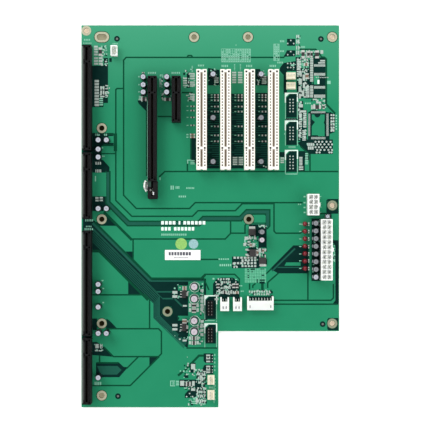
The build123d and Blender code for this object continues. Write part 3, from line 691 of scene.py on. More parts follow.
CLUSTER_ISLANDS = {
    "quiet middle of the fine pads": corners(311.8, 114.5, 324.6, 136.2),
    "copper right of the upper box": ((303, 99.5), (313, 99.5), (311.5, 110), (303.5, 110)),
    "copper below the transistors": corners(300.5, 60, 309, 68),
    "copper between the power pads": corners(313.8, 75.8, 319.2, 84.4),
    "second slot block": corners(96.8, 172.6, 106.2, 196.4),
    "first host cans block": corners(101.5, 146.3, 113.4, 153),
    "regulator foot": ((254.2, 214.8), (264.5, 214.8), (265.6, 216), (265.6, 222.6), (254.2, 222.6)),
    "lamp foot": ((286.2, 262.4), (300.6, 262.4), (300.6, 265.7), (284.5, 265.7)),
    "upper chip foot": corners(178, 285.5, 188, 290.5),
    "lower chip foot": corners(178, 315.8, 188, 320.4),
    "right of the large cans": corners(188.2, 281.5, 204, 344),
}
# Zones with a bolt hole in them: outline, the corner that the opening is reached from, and the
# hole. The opening is a square with this half side.
HOLE_OPENING = 3.4
BUNDLE_ZONE = [
    (92.5, 220.2), (94.8, 220.8), (152.4, 278.6), (206, 278.6), (206, 299), (207.5, 301), (207.5, 321),
    (190, 321), (188, 347), (186, 347.2), (153.4, 317.8), (153.4, 303.5), (149.5, 299.5), (145.3, 295.2),
    (128.2, 295.2), (128.2, 281.2), (99.6, 252.4), (92.5, 252.4),
]
UPPER_CORNER_ZONE = [
    (327.5, 199), (338.4, 199), (338.4, 213.7), (327.5, 213.7), (326.4, 212.5), (326.4, 200.3),
]
LOWER_CORNER_ZONE = [
    (328.5, 318), (338.4, 318), (338.4, 330.3), (328.5, 330.3), (327.3, 329), (327.3, 319.3),
]
HOLE_ZONES = (
    (BUNDLE_ZONE, 10, (168.0, 310.1)), (UPPER_CORNER_ZONE, 0, (331.0, 204.8)),
    (LOWER_CORNER_ZONE, 0, (332.9, 323.6)),
)
ZONE_LEVELS = 5
ZONE_LIFT = 0.0025
bare = Shape()
for i, outline in enumerate(ZONES.values()):
    area(bare, outline, ZONE_STEP + ZONE_LIFT * (i % ZONE_LEVELS))
for outline, corner, place in HOLE_ZONES:
    area(bare, around_hole(outline, corner, place), ZONE_STEP + ZONE_LIFT * ZONE_LEVELS)
bare.make("bare_and_shaded_zones", LAMINATE)

# Tracks that cross the bare zones. The bundle runs down at 45 degrees, turns straight down and
# splits off. BUNDLE has the first track's value and the change from each to the next, for its
# entry row, its straight column, the row of its bend, its right end and its width.
BUNDLE_TRACKS = 6
BUNDLE_LEFT = 92.6
BUNDLE = ((229.4, 2.4), (159.4, -1.1), (315.8, 0.45), (186.5, -0.5), (0.85, -0.03))
FEEDS = (  # entry row, level row, end column and width of the slope
    (223.1, 281.0, 204, 2.3), (227.9, 291.8, 172.5, 0.7), (228.6, 298.6, 175, 0.7),
)
FEED_WIDTH = 1.5
SHORT_TRACKS = (
    (((174.5, 298.6), (181.5, 305.6), (188, 305.6)), 1.6), (((295, 248.5), (272, 271)), 1.6),
    (((277.5, 267.4), (303, 267.4)), 1.0),
)
tracks = Shape()
for k in range(BUNDLE_TRACKS):
    entry, column, bend, right, width = (first + change * k for first, change in BUNDLE)
    foot = bend + right - column
    path = ((BUNDLE_LEFT, entry), (column, entry + column - BUNDLE_LEFT), (column, bend), (right, foot))
    stroke(tracks, path, width, TRACK_STEP)
for entry, level, end, width in FEEDS:
    turn = BUNDLE_LEFT + level - entry
    stroke(tracks, ((BUNDLE_LEFT, entry), (turn, level)), width, TRACK_STEP)
    stroke(tracks, ((turn, level), (end, level)), FEED_WIDTH, TRACK_STEP + 2 * LIFT)
for path, width in SHORT_TRACKS:
    stroke(tracks, path, width, TRACK_STEP)

# Fine tracks between the bus slots, some of them shorter
FINE_COLUMNS = ((207, 219.3), (231.4, 243.3), (255.8, 267.3))
FINE_ROWS = [95 + 2.2 * k for k in range(33)]
FINE_INSETS = (0, 0, 0, 3, 5)
FINE_WIDTH = 0.55
for left, right in FINE_COLUMNS:
    for row in FINE_ROWS:
        inset = random.choice(FINE_INSETS)
        stroke(tracks, ((left + inset, row), (right, row)), FINE_WIDTH, TRACK_STEP)
ARROW_CORE = ((97, 366), (117.4, 366), (121.6, 370), (117, 374.6), (101, 374.6))
WIDE_TRACK = (
    (107.7, 172), (107.7, 202.8), (128.4, 223.5), (198.8, 223.5), (203.7, 218.6), (240.5, 218.6),
    (247.2, 211.9), (267.6, 211.9), (267.6, 226.5),
)
WIDE_TRACK_WIDTH = 4.3
area(tracks, ARROW_CORE, TRACK_STEP)
stroke(tracks, WIDE_TRACK, WIDE_TRACK_WIDTH, TRACK_STEP)
tracks.make("bundle_tracks", TRACK_GREEN)

# Gaps between the copper areas. Lines that meet lie a hair apart in height.
GAP_WIDTH = 1.45
GAP_LEVELS = 13
HAIR = 0.001
GAPS = {
    "middle area, outer": (
        (123.6, 195.2), (136.3, 208.5), (189.4, 208.5), (195.3, 202.6), (302.5, 202.6),
    ),
    "middle area, left": ((123.6, 196), (123.6, 60.2), (126.2, 57.4), (284.5, 57.4)),
    "bump in it": ((186.9, 57.4), (188.2, 55.5), (191.4, 55.5), (192.7, 57.4)),
    "first host area": (
        (123.6, 88.5), (117, 88.5), (115.8, 89.7), (115.8, 200.4), (131.9, 216.3), (192.4, 216.3),
        (198, 210.7), (235.3, 210.7), (242.3, 203.7),
    ),
    "first cans": ((103, 134.2), (115, 134.2)),
    "first cans, below": ((103, 145), (113, 145)),
    "first cans, foot": ((100.5, 153.5), (115.8, 153.5)),
    "between the express slots": ((157.5, 116.5), (171.5, 116.5)),
    "short slot to bus slots": ((181.8, 92.6), (193, 92.6)),
    "beside the graphics slot": ((146.6, 111), (146.6, 176)),
    "below the bus slots": ((159, 177), (164.9, 171.5), (338.3, 171.5)),
    "right of the boxes": ((310, 154), (310, 171.5)),
    "left of the first bus slot": ((191, 137), (191, 160)),
    "below it": ((187.4, 161), (187.4, 171.5)),
    "lamp area": ((274, 203), (274, 231), (276, 233.2), (300.4, 233.2), (303, 230.8)),
    "cpu header foot": ((319, 213.5), (327, 213.5)),
    "regulator area": (
        (230.6, 220.6), (230.6, 233.2), (245, 233.2), (245, 225.3), (247.5, 222.9), (266, 222.9),
    ),
    "regulator feed": ((230.6, 233.4), (225.2, 239), (132.3, 239)),
    "label area": (
        (133.1, 239), (133.1, 259.6), (151.5, 278.2), (201, 278.2), (204.9, 274.3), (234.7, 274.3),
        (239.3, 278.9), (239.3, 290),
    ),
    "label area, right": ((200.5, 259.4), (219, 259.4)),
    "wide track, outer": (
        (109.9, 171), (109.9, 201.9), (129.4, 221.3), (197.9, 221.3), (202.8, 216.4), (239.6, 216.4),
        (246.3, 209.7), (269.8, 209.7), (269.8, 226), (267, 229),
    ),
    "wide track, inner": (
        (105.9, 171), (105.9, 203.6), (127.5, 225.7), (199.7, 225.7), (204.6, 220.8), (241.4, 220.8),
        (248.1, 214.1), (265.4, 214.1), (265.4, 224),
    ),
    "third slot area": ((103.8, 294.8), (145.1, 294.8), (149.6, 299.3), (149.6, 328.7)),
    "third slot left": ((92.5, 294.8), (104, 294.8)),
    "fourth slot area": (
        (106, 328.7), (158.5, 328.7), (161.4, 331.6), (161.4, 353.7), (158.5, 356.6), (113.5, 356.6),
        (104, 347),
    ),
    "arrow left": ((99.6, 355), (99.6, 362.6)),
    "arrow feed": ((126.5, 368.6), (138.2, 356.9)),
    "last cans": ((92.5, 385.5), (130.3, 385.5), (159.2, 356.6)),
    "leg area": ((186.4, 348), (217.4, 348)),
    "wafer area, upper": ((273.5, 300.3), (331, 300.3), (333.4, 297.9), (333.4, 284)),
    "wafer area, lower": ((273.5, 304.2), (337, 304.2)),
    "wafer area, middle": ((307.9, 272.5), (307.9, 300.3)),
    "wafer left": ((249.6, 283.4), (249.6, 289.4)),
    "wafer second": ((255.6, 283.4), (252.8, 285.6), (252.8, 288)),
    "wafer third": ((261.8, 283.4), (261.8, 290)),
    "wafer third, right": ((263, 283.4), (263, 290)),
    "wafer feed": ((267.7, 288), (267.7, 282.5), (278.3, 273.2)),
    "lamp feed": ((271.8, 268.4), (266, 273.9)),
    "right cluster": (
        (299.4, 45), (300.4, 49.3), (315.6, 49.3), (319, 52.6), (321.5, 57), (324.3, 57.2), (326.2, 59),
    ),
    "box foot": ((300.3, 146.2), (307, 152.2), (310, 155.5)),
}
WIDE_GAPS = {
    "host band": (((115.4, 133.4), (115.4, 151.3)), 3.4),
    "main feed": (((241, 203.2), (274.7, 203.2)), 2.4),
    "hole diagonal": (((104, 212), (132, 240)), 2.6),
    "bundle, upper": (((94.4, 221.9), (152.2, 279.7)), 1.7),
    "bundle, lower": (((98.6, 250.8), (148, 300.2)), 2.2),
    "over the lower wedge": (((92.5, 250.8), (98.6, 250.8)), 2.2),
    "label foot": (((152, 278.8), (201.5, 278.8)), 1.6),
    "last feed": (((178, 375.6), (183.6, 371)), 2.2),
    "last feed, right": (((184.8, 370.4), (199, 355.6), (204, 355.6)), 2.2),
    "right cluster edge": (((326.2, 58.5), (326.2, 104.2), (335.2, 113.6)), 1.9),
    "label right": (((201, 279), (205.3, 274.8)), 2.2),
    "label corner": (((203, 277), (209, 290)), 1.4),
    "fourth slot band": (((97, 362.8), (118.5, 362.8)), 1.6),
}
gaps = Shape()
LINES = [(line, GAP_WIDTH) for line in GAPS.values()] + list(WIDE_GAPS.values())
for i, (line, width) in enumerate(LINES):
    stroke(gaps, line, width, GAP_STEP + HAIR * (i % GAP_LEVELS))
gaps.make("copper_gaps", GAP_GREEN)

islands_of_copper = Shape()
for outline in CLUSTER_ISLANDS.values():
    area(islands_of_copper, outline, ISLAND_STEP)
islands_of_copper.make("copper_islands", GREEN)

# The same copper areas end below the board, seen through it, so the under side repeats them
under_gaps = Shape()
UNDER_LINES = (
    "middle area, outer", "middle area, left", "first host area", "below the bus slots", "regulator feed",
    "label area", "third slot area", "fourth slot area", "last cans", "wafer area, upper",
)
for i, name in enumerate(UNDER_LINES):
    stroke(under_gaps, GAPS[name], GAP_WIDTH, GAP_STEP + HAIR * i, below=True)
under_gaps.make("under_gaps", GAP_GREEN)

# Mounting holes: plated rings on both faces, a liner in each hole painted dark as shade inside the hole,
# and a clear band around
HOLES = (
    (4.2, 4.6), (96.3, 10.05), (142.4, 10.05), (17.4, 87.9), (17.4, 165.8), (17.4, 254.9), (17.4, 316.5),
    (214.48, 10.05),
)
DULL_HOLES = ((143.1, 165.8), (73.6, 244.7), (214.48, 154.0), (214.48, 254.9))
HOLE_RADIUS = 2.3
RING_RADIUS = 4.2
LINER = 0.12
CLEAR_BAND = 0.55
CLEAR_OVERLAP = 0.05
CLEAR_LIFT = 0.005
LONG_HOLE = (17.4, 10.05)
LONG_HOLE_RADIUS = 2.5
LONG_RING_RADIUS = 4.45
LONG_HOLE_STRETCH = 1.75
rings, dull_rings, liners, clearances = Shape(), Shape(), Shape(), Shape()


def hole(plating, from_left, from_top, radius, ring, stretch=0.0):
    """Plated ring, liner and clear band of one hole, placed from the board's corner."""
    x, y = from_left - HALF_WIDTH, HALF_LENGTH - from_top
    rim = circle(x, y, radius, stretch=stretch)
    for below in (False, True):
        plating.washer(circle(x, y, ring, stretch=stretch), rim, *layer(PAD_STEP, below))
    liners.washer(rim, circle(x, y, radius - LINER, stretch=stretch), UNDER - PAD_STEP, TOP + PAD_STEP)
    band = circle(x, y, min(ring + CLEAR_BAND, from_left, from_top), stretch=stretch)
    inside = circle(x, y, ring - CLEAR_OVERLAP, stretch=stretch)
    clearances.washer(band, inside, *layer(GAP_STEP + CLEAR_LIFT))


for place in HOLES:
    hole(rings, *place, HOLE_RADIUS, RING_RADIUS)
for place in DULL_HOLES:
    hole(dull_rings, *place, HOLE_RADIUS, RING_RADIUS)
hole(rings, *LONG_HOLE, LONG_HOLE_RADIUS, LONG_RING_RADIUS, LONG_HOLE_STRETCH)
rings.make("hole_rings", PLATING, slot="tin_plate")
dull_rings.make("dull_hole_rings", DULL_PLATING, slot="tin_plate")
liners.make("hole_liners", SHADED_BORE, slot="tin_plate")
clearances.make("hole_clearances", GAP_GREEN)

# Alignment marks: a clear disc with a bare dot in it
MARKS = ((117.0, 38.8), (320.9, 39.0), (118.0, 396.2), (322.7, 324.1))
MARK_DISC_RADIUS = 2.45
MARK_DOT_RADIUS = 0.95
MARK_LIFT = 0.01
mark_discs, mark_dots = Shape(), Shape()
dots(mark_discs, MARKS, MARK_DISC_RADIUS, GAP_STEP + MARK_LIFT, 24)
dots(mark_dots, MARKS, MARK_DOT_RADIUS, PRINT_STEP, 20)
mark_discs.make("mark_discs", LAMINATE)
mark_dots.make("mark_dots", AGED_TIN, slot="tin_plate")

# White print: outlines of headers and sockets, tables, and plain bars where a board has words
prints, pale = Shape(), Shape()
MINT_BLOCKS = ((317.4, 79.8, 319.4, 83.8), (327.2, 80.8, 330.6, 84.0))
plates(prints, MINT_BLOCKS[:1], PRINT_STEP)
plates(pale, MINT_BLOCKS[1:], PRINT_STEP)
BOX_OUTLINES = (  # left, top, right and bottom of each box header's outline
    (284.8, 92.7, 298, 119.2), (284.8, 120.5, 298, 145.6), (284.8, 149.9, 298, 174.2),
    (204.2, 295.2, 217.2, 319.4), (204.2, 323.2, 217.2, 347.2),
)
BOX_CORNER = 4.2
BOX_LINE = 1.1
BOX_THIN_LINE = (0.3, 0.9)
BOX_LEFT_LINE_LENGTH = 10
BOX_RIGHT_LINE_LENGTH = 9
BOX_FOOT_LINE = (285.2, 173.6, 297.6, 174.4)
for x0, y0, x1, y1 in BOX_OUTLINES:
    near, far = BOX_THIN_LINE
    inner_x, inner_y = x0 + BOX_LINE, y0 + BOX_LINE
    left_end, right_end = y0 + BOX_LEFT_LINE_LENGTH, y0 + BOX_RIGHT_LINE_LENGTH
    plate(prints, x0, y0, x1, inner_y, PRINT_STEP)
    plate(prints, x0, inner_y, inner_x, left_end, PRINT_STEP)
    plate(prints, x1 - BOX_LINE, inner_y, x1, right_end, PRINT_STEP)
    plate(pale, x0 + near, left_end, x0 + far, y1, PRINT_STEP)
    plate(pale, x1 - far, right_end, x1 - near, y1, PRINT_STEP)
    corner = ((inner_x, inner_y), (x0 + BOX_CORNER, inner_y), (inner_x, y0 + BOX_CORNER))
    area(prints, corner, PRINT_STEP)
plate(pale, *BOX_FOOT_LINE, PRINT_STEP)
BOX_INSIDES = (
    (286.2, 94, 296.8, 117.6), (286.2, 121.8, 296.8, 145), (286.2, 151.2, 296.8, 171.4),
    (205.4, 296.6, 215.9, 319), (205.4, 324.6, 215.9, 343.5),
)
BETWEEN_BOXES = (285.5, 118.1, 297, 120.2)
FLOOR_LEFT_CUT = 4
FLOOR_RIGHT_CUT = 1
box_floor = Shape()
for x0, y0, x1, y1 in BOX_INSIDES:
    upper = ((x0, y0 + FLOOR_LEFT_CUT), (x0 + FLOOR_LEFT_CUT, y0), (x1 - FLOOR_RIGHT_CUT, y0))
    area(box_floor, (*upper, (x1, y0 + FLOOR_RIGHT_CUT), (x1, y1), (x0, y1)), ISLAND_STEP)
plate(box_floor, *BETWEEN_BOXES, ISLAND_STEP)
box_floor.make("box_header_floors", LAMINATE)

WORD_BARS = (  # left, right and middle row of each plain bar
    (161.2, 176.5, 222.8), (178.6, 181, 222.8), (183.4, 206.4, 222.8), (161.2, 171.6, 228.8),
    (174, 195.2, 228.8),
)
WORD_BAR_HEIGHT = 3.4
WORD_BAR_PITCH = 3.7
WORD_BAR_SHARE = 0.72
SMALL_BARS = (161.4, 233.6, 187.2, 235.6)
for left, right, row in WORD_BARS:
    box = (left, row - WORD_BAR_HEIGHT / 2, right, row + WORD_BAR_HEIGHT / 2)
    count = max(1, round((right - left) / WORD_BAR_PITCH))
    comb(prints, box, count, WORD_BAR_SHARE, PRINT_STEP, across=True)
comb(pale, SMALL_BARS, 13, 0.6, PRINT_STEP, across=True)

MARK_ROWS = (  # left, top, right, bottom and how many small marks stand in each run of print
    (170.6, 185.6, 174.6, 189.6, 2), (175.6, 186.2, 179.9, 188.8, 3), (186.2, 187.3, 194.7, 188.9, 6),
    (178.7, 195.6, 186.6, 197.4, 4), (85.2, 219.2, 93.6, 221.4, 5), (86, 225.8, 92, 227.2, 4),
    (84.6, 228.2, 93.6, 230.2, 5), (84, 39, 90.8, 40.6, 3), (83.2, 42.6, 92, 43.8, 6),
    (112.6, 43.2, 118.2, 44.2, 4), (148, 72, 156.6, 73.8, 5), (171.6, 72, 180.6, 73.8, 5),
    (198, 64.6, 204.6, 66.4, 4), (221.6, 64.9, 228.6, 67, 4), (246.2, 64.9, 252.6, 67, 4),
    (269.6, 64.9, 276.6, 67, 4), (196.2, 168.8, 206.4, 169.8, 8), (280, 40.3, 284.8, 42.2, 3),
    (280.2, 50.3, 284.4, 52, 3), (277.4, 61.7, 283.4, 63.4, 4), (138.4, 76, 140.2, 77.4, 1),
    (138.4, 84, 140.2, 85.4, 1), (138.4, 91.2, 140.2, 92.6, 1), (139, 95.6, 141, 100.2, 2),
    (301.5, 223.6, 303.6, 225, 1), (218.6, 258.4, 229.6, 259.8, 5), (219.6, 264, 232, 266.2, 6),
    (305, 102.6, 311.6, 104, 3), (240.8, 290.6, 244.2, 291.8, 2), (239.4, 285.2, 242.8, 286.4, 2),
    (159.2, 78.6, 161.8, 87.2, 2), (214, 68.2, 216, 70.2, 1), (298, 203.8, 301.8, 204.9, 2),
    (284.2, 133, 286, 134.6, 1), (104, 46.2, 106, 47.4, 1), (104.4, 49.6, 107.8, 51, 2),
    (104, 53.2, 108, 54.8, 2), (95.3, 133.6, 99, 135.6, 2), (104.2, 133.8, 107.6, 135.8, 2),
    (102, 147.4, 104, 148.4, 1), (102, 155.6, 105, 156.8, 2), (101.6, 280, 104.4, 281.2, 1),
    (102.4, 287.8, 105, 289, 1), (102.4, 302, 105, 303.2, 1), (94.6, 381.8, 101.8, 385, 4),
    (183, 370.4, 185.4, 372, 1), (179.8, 370.4, 181.6, 371.6, 1), (212.6, 278, 215.6, 279.6, 1),
    (196.6, 394, 198.4, 403, 1), (209, 386.6, 213, 388.6, 3), (206.2, 390.6, 213.6, 391, 1),
)
MARK_SHARE = 0.62
for *box, count in MARK_ROWS:
    comb(pale, box, count, MARK_SHARE, PRINT_STEP, across=True)
PALE_BLOCKS = (
    (94.9, 176, 96, 181.4), (146.9, 178.6, 147.6, 180.4), (159.6, 177.4, 160.4, 180.2),
    (235.6, 44.6, 236.4, 45.6), (147.2, 100.2, 147.7, 177.6), (209.4, 388, 213.2, 388.6),
    (186.6, 381.6, 187.2, 385.8), (216, 320.6, 217, 321.6), (170.2, 380.6, 171, 386.2),
    (171.2, 380.6, 175, 381.4), (171.2, 385.4, 175, 386.2), (213.8, 376, 214.3, 403),
)
plates(pale, PALE_BLOCKS, PRINT_STEP)
PALE_COMBS = (  # left, top, right, bottom, count and share of rows of fine marks, one under another
    (99.2, 98, 103, 106.2, 4, 0.6), (288.4, 146.2, 295.4, 148.6, 2, 0.4),
    (214.4, 354, 215.2, 373, 5, 0.5), (205, 320.2, 214.6, 322, 1, 0.4), (172.4, 382, 174.6, 385, 3, 0.5),
    (176, 380.8, 179, 386, 3, 0.6), (261, 224.9, 264.6, 226.9, 2, 0.5), (214.9, 378, 215.5, 402, 7, 0.5),
    (335.6, 115, 337, 131, 6, 0.5), (234, 64.2, 235.2, 71, 5, 0.5), (301, 46.2, 305, 48.6, 2, 0.5),
    (305.2, 153.2, 308, 165, 7, 0.6), (239.8, 64.2, 241, 71, 5, 0.5), (191.6, 66, 193, 72.4, 5, 0.5),
    (319.6, 276.6, 332.4, 281.4, 2, 0.4), (191.2, 401.2, 196.4, 404.6, 2, 0.5),
    (297, 34.8, 299.4, 37.8, 2, 0.5), (113.5, 46, 117, 52, 3, 0.3),
)
for *box, count, share in PALE_COMBS:
    comb(pale, box, count, share, PRINT_STEP)
TABLES = (  # left, top, right, bottom, columns and rows
    (221.2, 48.7, 250.6, 62.2, 13, 6), (273.4, 43.8, 279.4, 60.8, 3, 8),
)
FAINT_TABLE_ROWS = (268.4, 271.3, 274.2, 277.2, 280.1)
FAINT_TABLE_BARE = (
    (247.4, 268.9, 248.8, 270.3), (247.6, 271, 248.8, 272.2), (247.6, 274.8, 248.9, 276),
    (247.6, 276.8, 248.9, 278.2), (250.4, 268.6, 255, 269.9), (251.6, 271.2, 252.6, 272.4),
    (260, 268.7, 264.4, 269.4), (261.6, 274.7, 264.4, 275.9), (259.6, 279.4, 264.8, 280.9),
    (259.4, 281.5, 264.8, 283.6), (256.8, 279, 257.8, 283), (253.4, 276.6, 254.6, 277.5),
)
FAINT_TABLE_ROW = (244.8, 0, 266.4, 2.5)
faint, table_bare = Shape(), Shape()
for row in FAINT_TABLE_ROWS:
    comb(faint, moved(FAINT_TABLE_ROW, 0, row), 9, 0.86, PRINT_STEP, across=True)
plates(table_bare, FAINT_TABLE_BARE, PRINT_STEP + 3 * LIFT)
faint.make("faint_table", FAINT_PRINT)
table_bare.make("faint_table_bare", LAMINATE)
TABLE_LINE = 0.32
CELL_SHARE_FILLED = 0.72
CELL_START = 0.3
CELL_MARK = (0, 0, 1.25, 1.05)
for x0, y0, x1, y1, columns, rows in TABLES:
    for column in range(columns + 1):
        left = x0 + (x1 - x0 - TABLE_LINE) * column / columns
        plate(pale, left, y0, left + TABLE_LINE, y1, PRINT_STEP)
    for row in range(rows + 1):
        level = y0 + (y1 - y0 - TABLE_LINE) * row / rows
        plate(pale, x0, level, x1, level + TABLE_LINE, PRINT_STEP + 2 * LIFT)
    for column in range(columns):
        for row in range(rows):
            if random.random() < CELL_SHARE_FILLED:
                left = x0 + (x1 - x0) * (column + CELL_START) / columns
                level = y0 + (y1 - y0) * (row + CELL_START) / rows
                plate(pale, *moved(CELL_MARK, left, level), PRINT_STEP + LIFT)
LAMP_ROWS = (224.1, 231.5, 239.0, 246.6, 254.0, 260.9, 268.5)
LAMP_BARS = ((308.2, -1.7, 309.3, -0.3), (308.2, 0.4, 309.3, 1.8))
LAMP_MARK = (299.2, -0.5, 301.4, 0.4)
for row in LAMP_ROWS:
    plates(prints, [moved(bar, 0, row) for bar in LAMP_BARS], PRINT_STEP)
    plate(pale, *moved(LAMP_MARK, 0, row), PRINT_STEP)
CPU_MARK_ROWS = (196.6, 202.6, 207.4, 212.4)
CPU_MARKS = ((303.6, -0.6, 305.6, 0.7), (320.2, -0.5, 321.2, 0.4))
for row in CPU_MARK_ROWS:
    plates(pale, [moved(mark, 0, row) for mark in CPU_MARKS], PRINT_STEP)
LARGE_CANS = ((194.7, 287.1), (194.3, 299.0), (194.7, 320.8), (194.3, 331.8))
CAN_RING = 4.35
CAN_RING_WIDTH = 0.3
for place in LARGE_CANS:
    x, y = spot(*place)
    ring, inside = circle(x, y, CAN_RING), circle(x, y, CAN_RING - CAN_RING_WIDTH)
    prints.washer(ring, inside, *layer(PRINT_STEP + 3 * LIFT))
prints.make("white_print", PRINT)
pale.make("thin_print", PALE_PRINT)

# Plain stickers: a green disc, a pale disc and a white slip with plain bars
GREEN_STICKER = (181.2, 243.9)
PALE_STICKER = (193.5, 244.0)
SLIP = (164.9, 250.0, 200.5, 260.0)
SLIP_BARS = (168.7, 252.0, 191.7, 255.4)
SLIP_FOOT_BARS = (174.0, 257.2, 188.8, 258.2)
GREEN_STICKER_RADIUS = 4.95
PALE_STICKER_RADIUS = 4.05
BAR_STEP = STICKER_STEP + 0.01
green_disc, pale_disc, slip, slip_bars = Shape(), Shape(), Shape(), Shape()
dots(green_disc, (GREEN_STICKER,), GREEN_STICKER_RADIUS, STICKER_STEP, 40)
dots(pale_disc, (PALE_STICKER,), PALE_STICKER_RADIUS, STICKER_STEP, 36)
plate(slip, *SLIP, STICKER_STEP)
comb(slip_bars, SLIP_BARS, 8, 0.62, BAR_STEP, across=True)
comb(slip_bars, SLIP_BARS, 23, 0.35, BAR_STEP + 2 * LIFT, across=True)
comb(slip_bars, SLIP_FOOT_BARS, 12, 0.55, BAR_STEP, across=True)
green_disc.make("sticker_green", LABEL_GREEN)
pale_disc.make("sticker_pale", LABEL_BLUE)
slip.make("sticker_slip", LABEL)
slip_bars.make("sticker_bars", INK)

# Bare pads
pads = Shape()
PAD_COMBS = (  # left, top, right, bottom, count, share
    (94, 45.8, 97.8, 56.2, 4, 0.7), (94, 57.2, 97.9, 65.6, 3, 0.72), (98.7, 57.2, 102.6, 65.6, 3, 0.72),
    (94.6, 80, 98.9, 106.8, 9, 0.78), (183.1, 77.6, 187, 87.2, 4, 0.6), (190, 73, 194.7, 80, 3, 0.66),
    (190, 81.6, 194.7, 87.2, 3, 0.66), (190.2, 93.8, 194.6, 100.8, 3, 0.66),
    (214.2, 77.4, 218.4, 83.6, 3, 0.66), (232.1, 71.8, 236.2, 83.9, 5, 0.68),
    (238, 71.8, 242.4, 83.9, 5, 0.68), (261.8, 76, 266.3, 84.6, 4, 0.66),
    (232.8, 157, 237.4, 165.8, 4, 0.62), (238.6, 157, 243.2, 165.8, 4, 0.62),
    (280.5, 157.4, 284, 163.8, 3, 0.66), (95.4, 197, 98.6, 202.2, 2, 0.7),
    (99.6, 197, 102.8, 202.2, 2, 0.6), (95.4, 344, 98.6, 348.2, 1, 1), (214.6, 294.6, 218.6, 302, 2, 0.5),
    (188.9, 303.4, 191.2, 313, 2, 0.76), (196.5, 303.4, 198.8, 313, 2, 0.76),
    (188.9, 336.4, 191.2, 345.4, 2, 0.76), (196.5, 336.4, 198.8, 345.4, 2, 0.76),
    (299, 118.6, 301.8, 128, 4, 0.66), (296.8, 59.2, 300.4, 70.6, 7, 0.72),
    (296.8, 71, 300.4, 77.4, 3, 0.7), (310.1, 58, 313.2, 82, 14, 0.72),
    (310.1, 85.6, 313.2, 97.8, 8, 0.72), (305.6, 86.2, 309.4, 97.8, 8, 0.72),
    (303.2, 112.8, 306.4, 128, 8, 0.66), (302.4, 130.2, 305.8, 141.2, 6, 0.66),
    (298.9, 130.4, 301.2, 138, 5, 0.6), (299.2, 157, 302.4, 165.8, 6, 0.72),
)
for *box, count, share in PAD_COMBS:
    comb(pads, box, count, share, PAD_STEP)
PAD_ROWS = (  # left, top, right, bottom, count, share
    (233.5, 256.7, 257.4, 258.7, 7, 0.66), (241.5, 259.3, 257.4, 261.2, 5, 0.62),
    (233.5, 262.2, 257.4, 264.2, 7, 0.66), (241.5, 265.2, 257.4, 267, 5, 0.62),
    (233.5, 266, 239, 268, 2, 0.5), (95.4, 161.8, 101.8, 164.6, 3, 0.66),
    (95.4, 169.4, 101.8, 172.4, 4, 0.6), (95, 350, 102.4, 351.2, 4, 0.6),
    (100, 344, 103.4, 348.2, 2, 0.4), (220.8, 281.2, 231.2, 283.2, 6, 0.55),
    (220.8, 287, 231.2, 289, 6, 0.55), (217.8, 278.2, 231, 280, 5, 0.5),
    (219, 291, 239.4, 293.8, 9, 0.62), (249, 290.6, 271.2, 292.6, 9, 0.55),
    (254.2, 293.4, 270.6, 295.2, 7, 0.5), (311.2, 111.2, 325.6, 113.2, 18, 0.55),
    (311.2, 137, 325.6, 139.2, 18, 0.55), (307.4, 143, 314.4, 146, 4, 0.78),
    (308, 146.5, 314, 149.6, 3, 0.78), (197, 372.6, 206, 374.6, 4, 0.55), (198, 376.8, 206, 379, 4, 0.55),
    (197, 390.6, 205.6, 393, 4, 0.6), (198, 395.2, 206, 397.4, 4, 0.55),
    (197.6, 399.6, 206.4, 402.4, 4, 0.55), (314.2, 64.3, 325.4, 66.6, 10, 0.7),
    (314.2, 73, 325.4, 75.7, 10, 0.7), (314.2, 86, 325.4, 88.6, 10, 0.7),
    (314.2, 94.6, 325.4, 97.8, 10, 0.7),
)
for *box, count, share in PAD_ROWS:
    comb(pads, box, count, share, PAD_STEP, across=True)
FINE_PITCH_SIDES = ((308.2, 113.8, 310.2, 136.2), (326.4, 113.8, 328.6, 136.2))
for box in FINE_PITCH_SIDES:
    comb(pads, box, 26, 0.55, PAD_STEP)
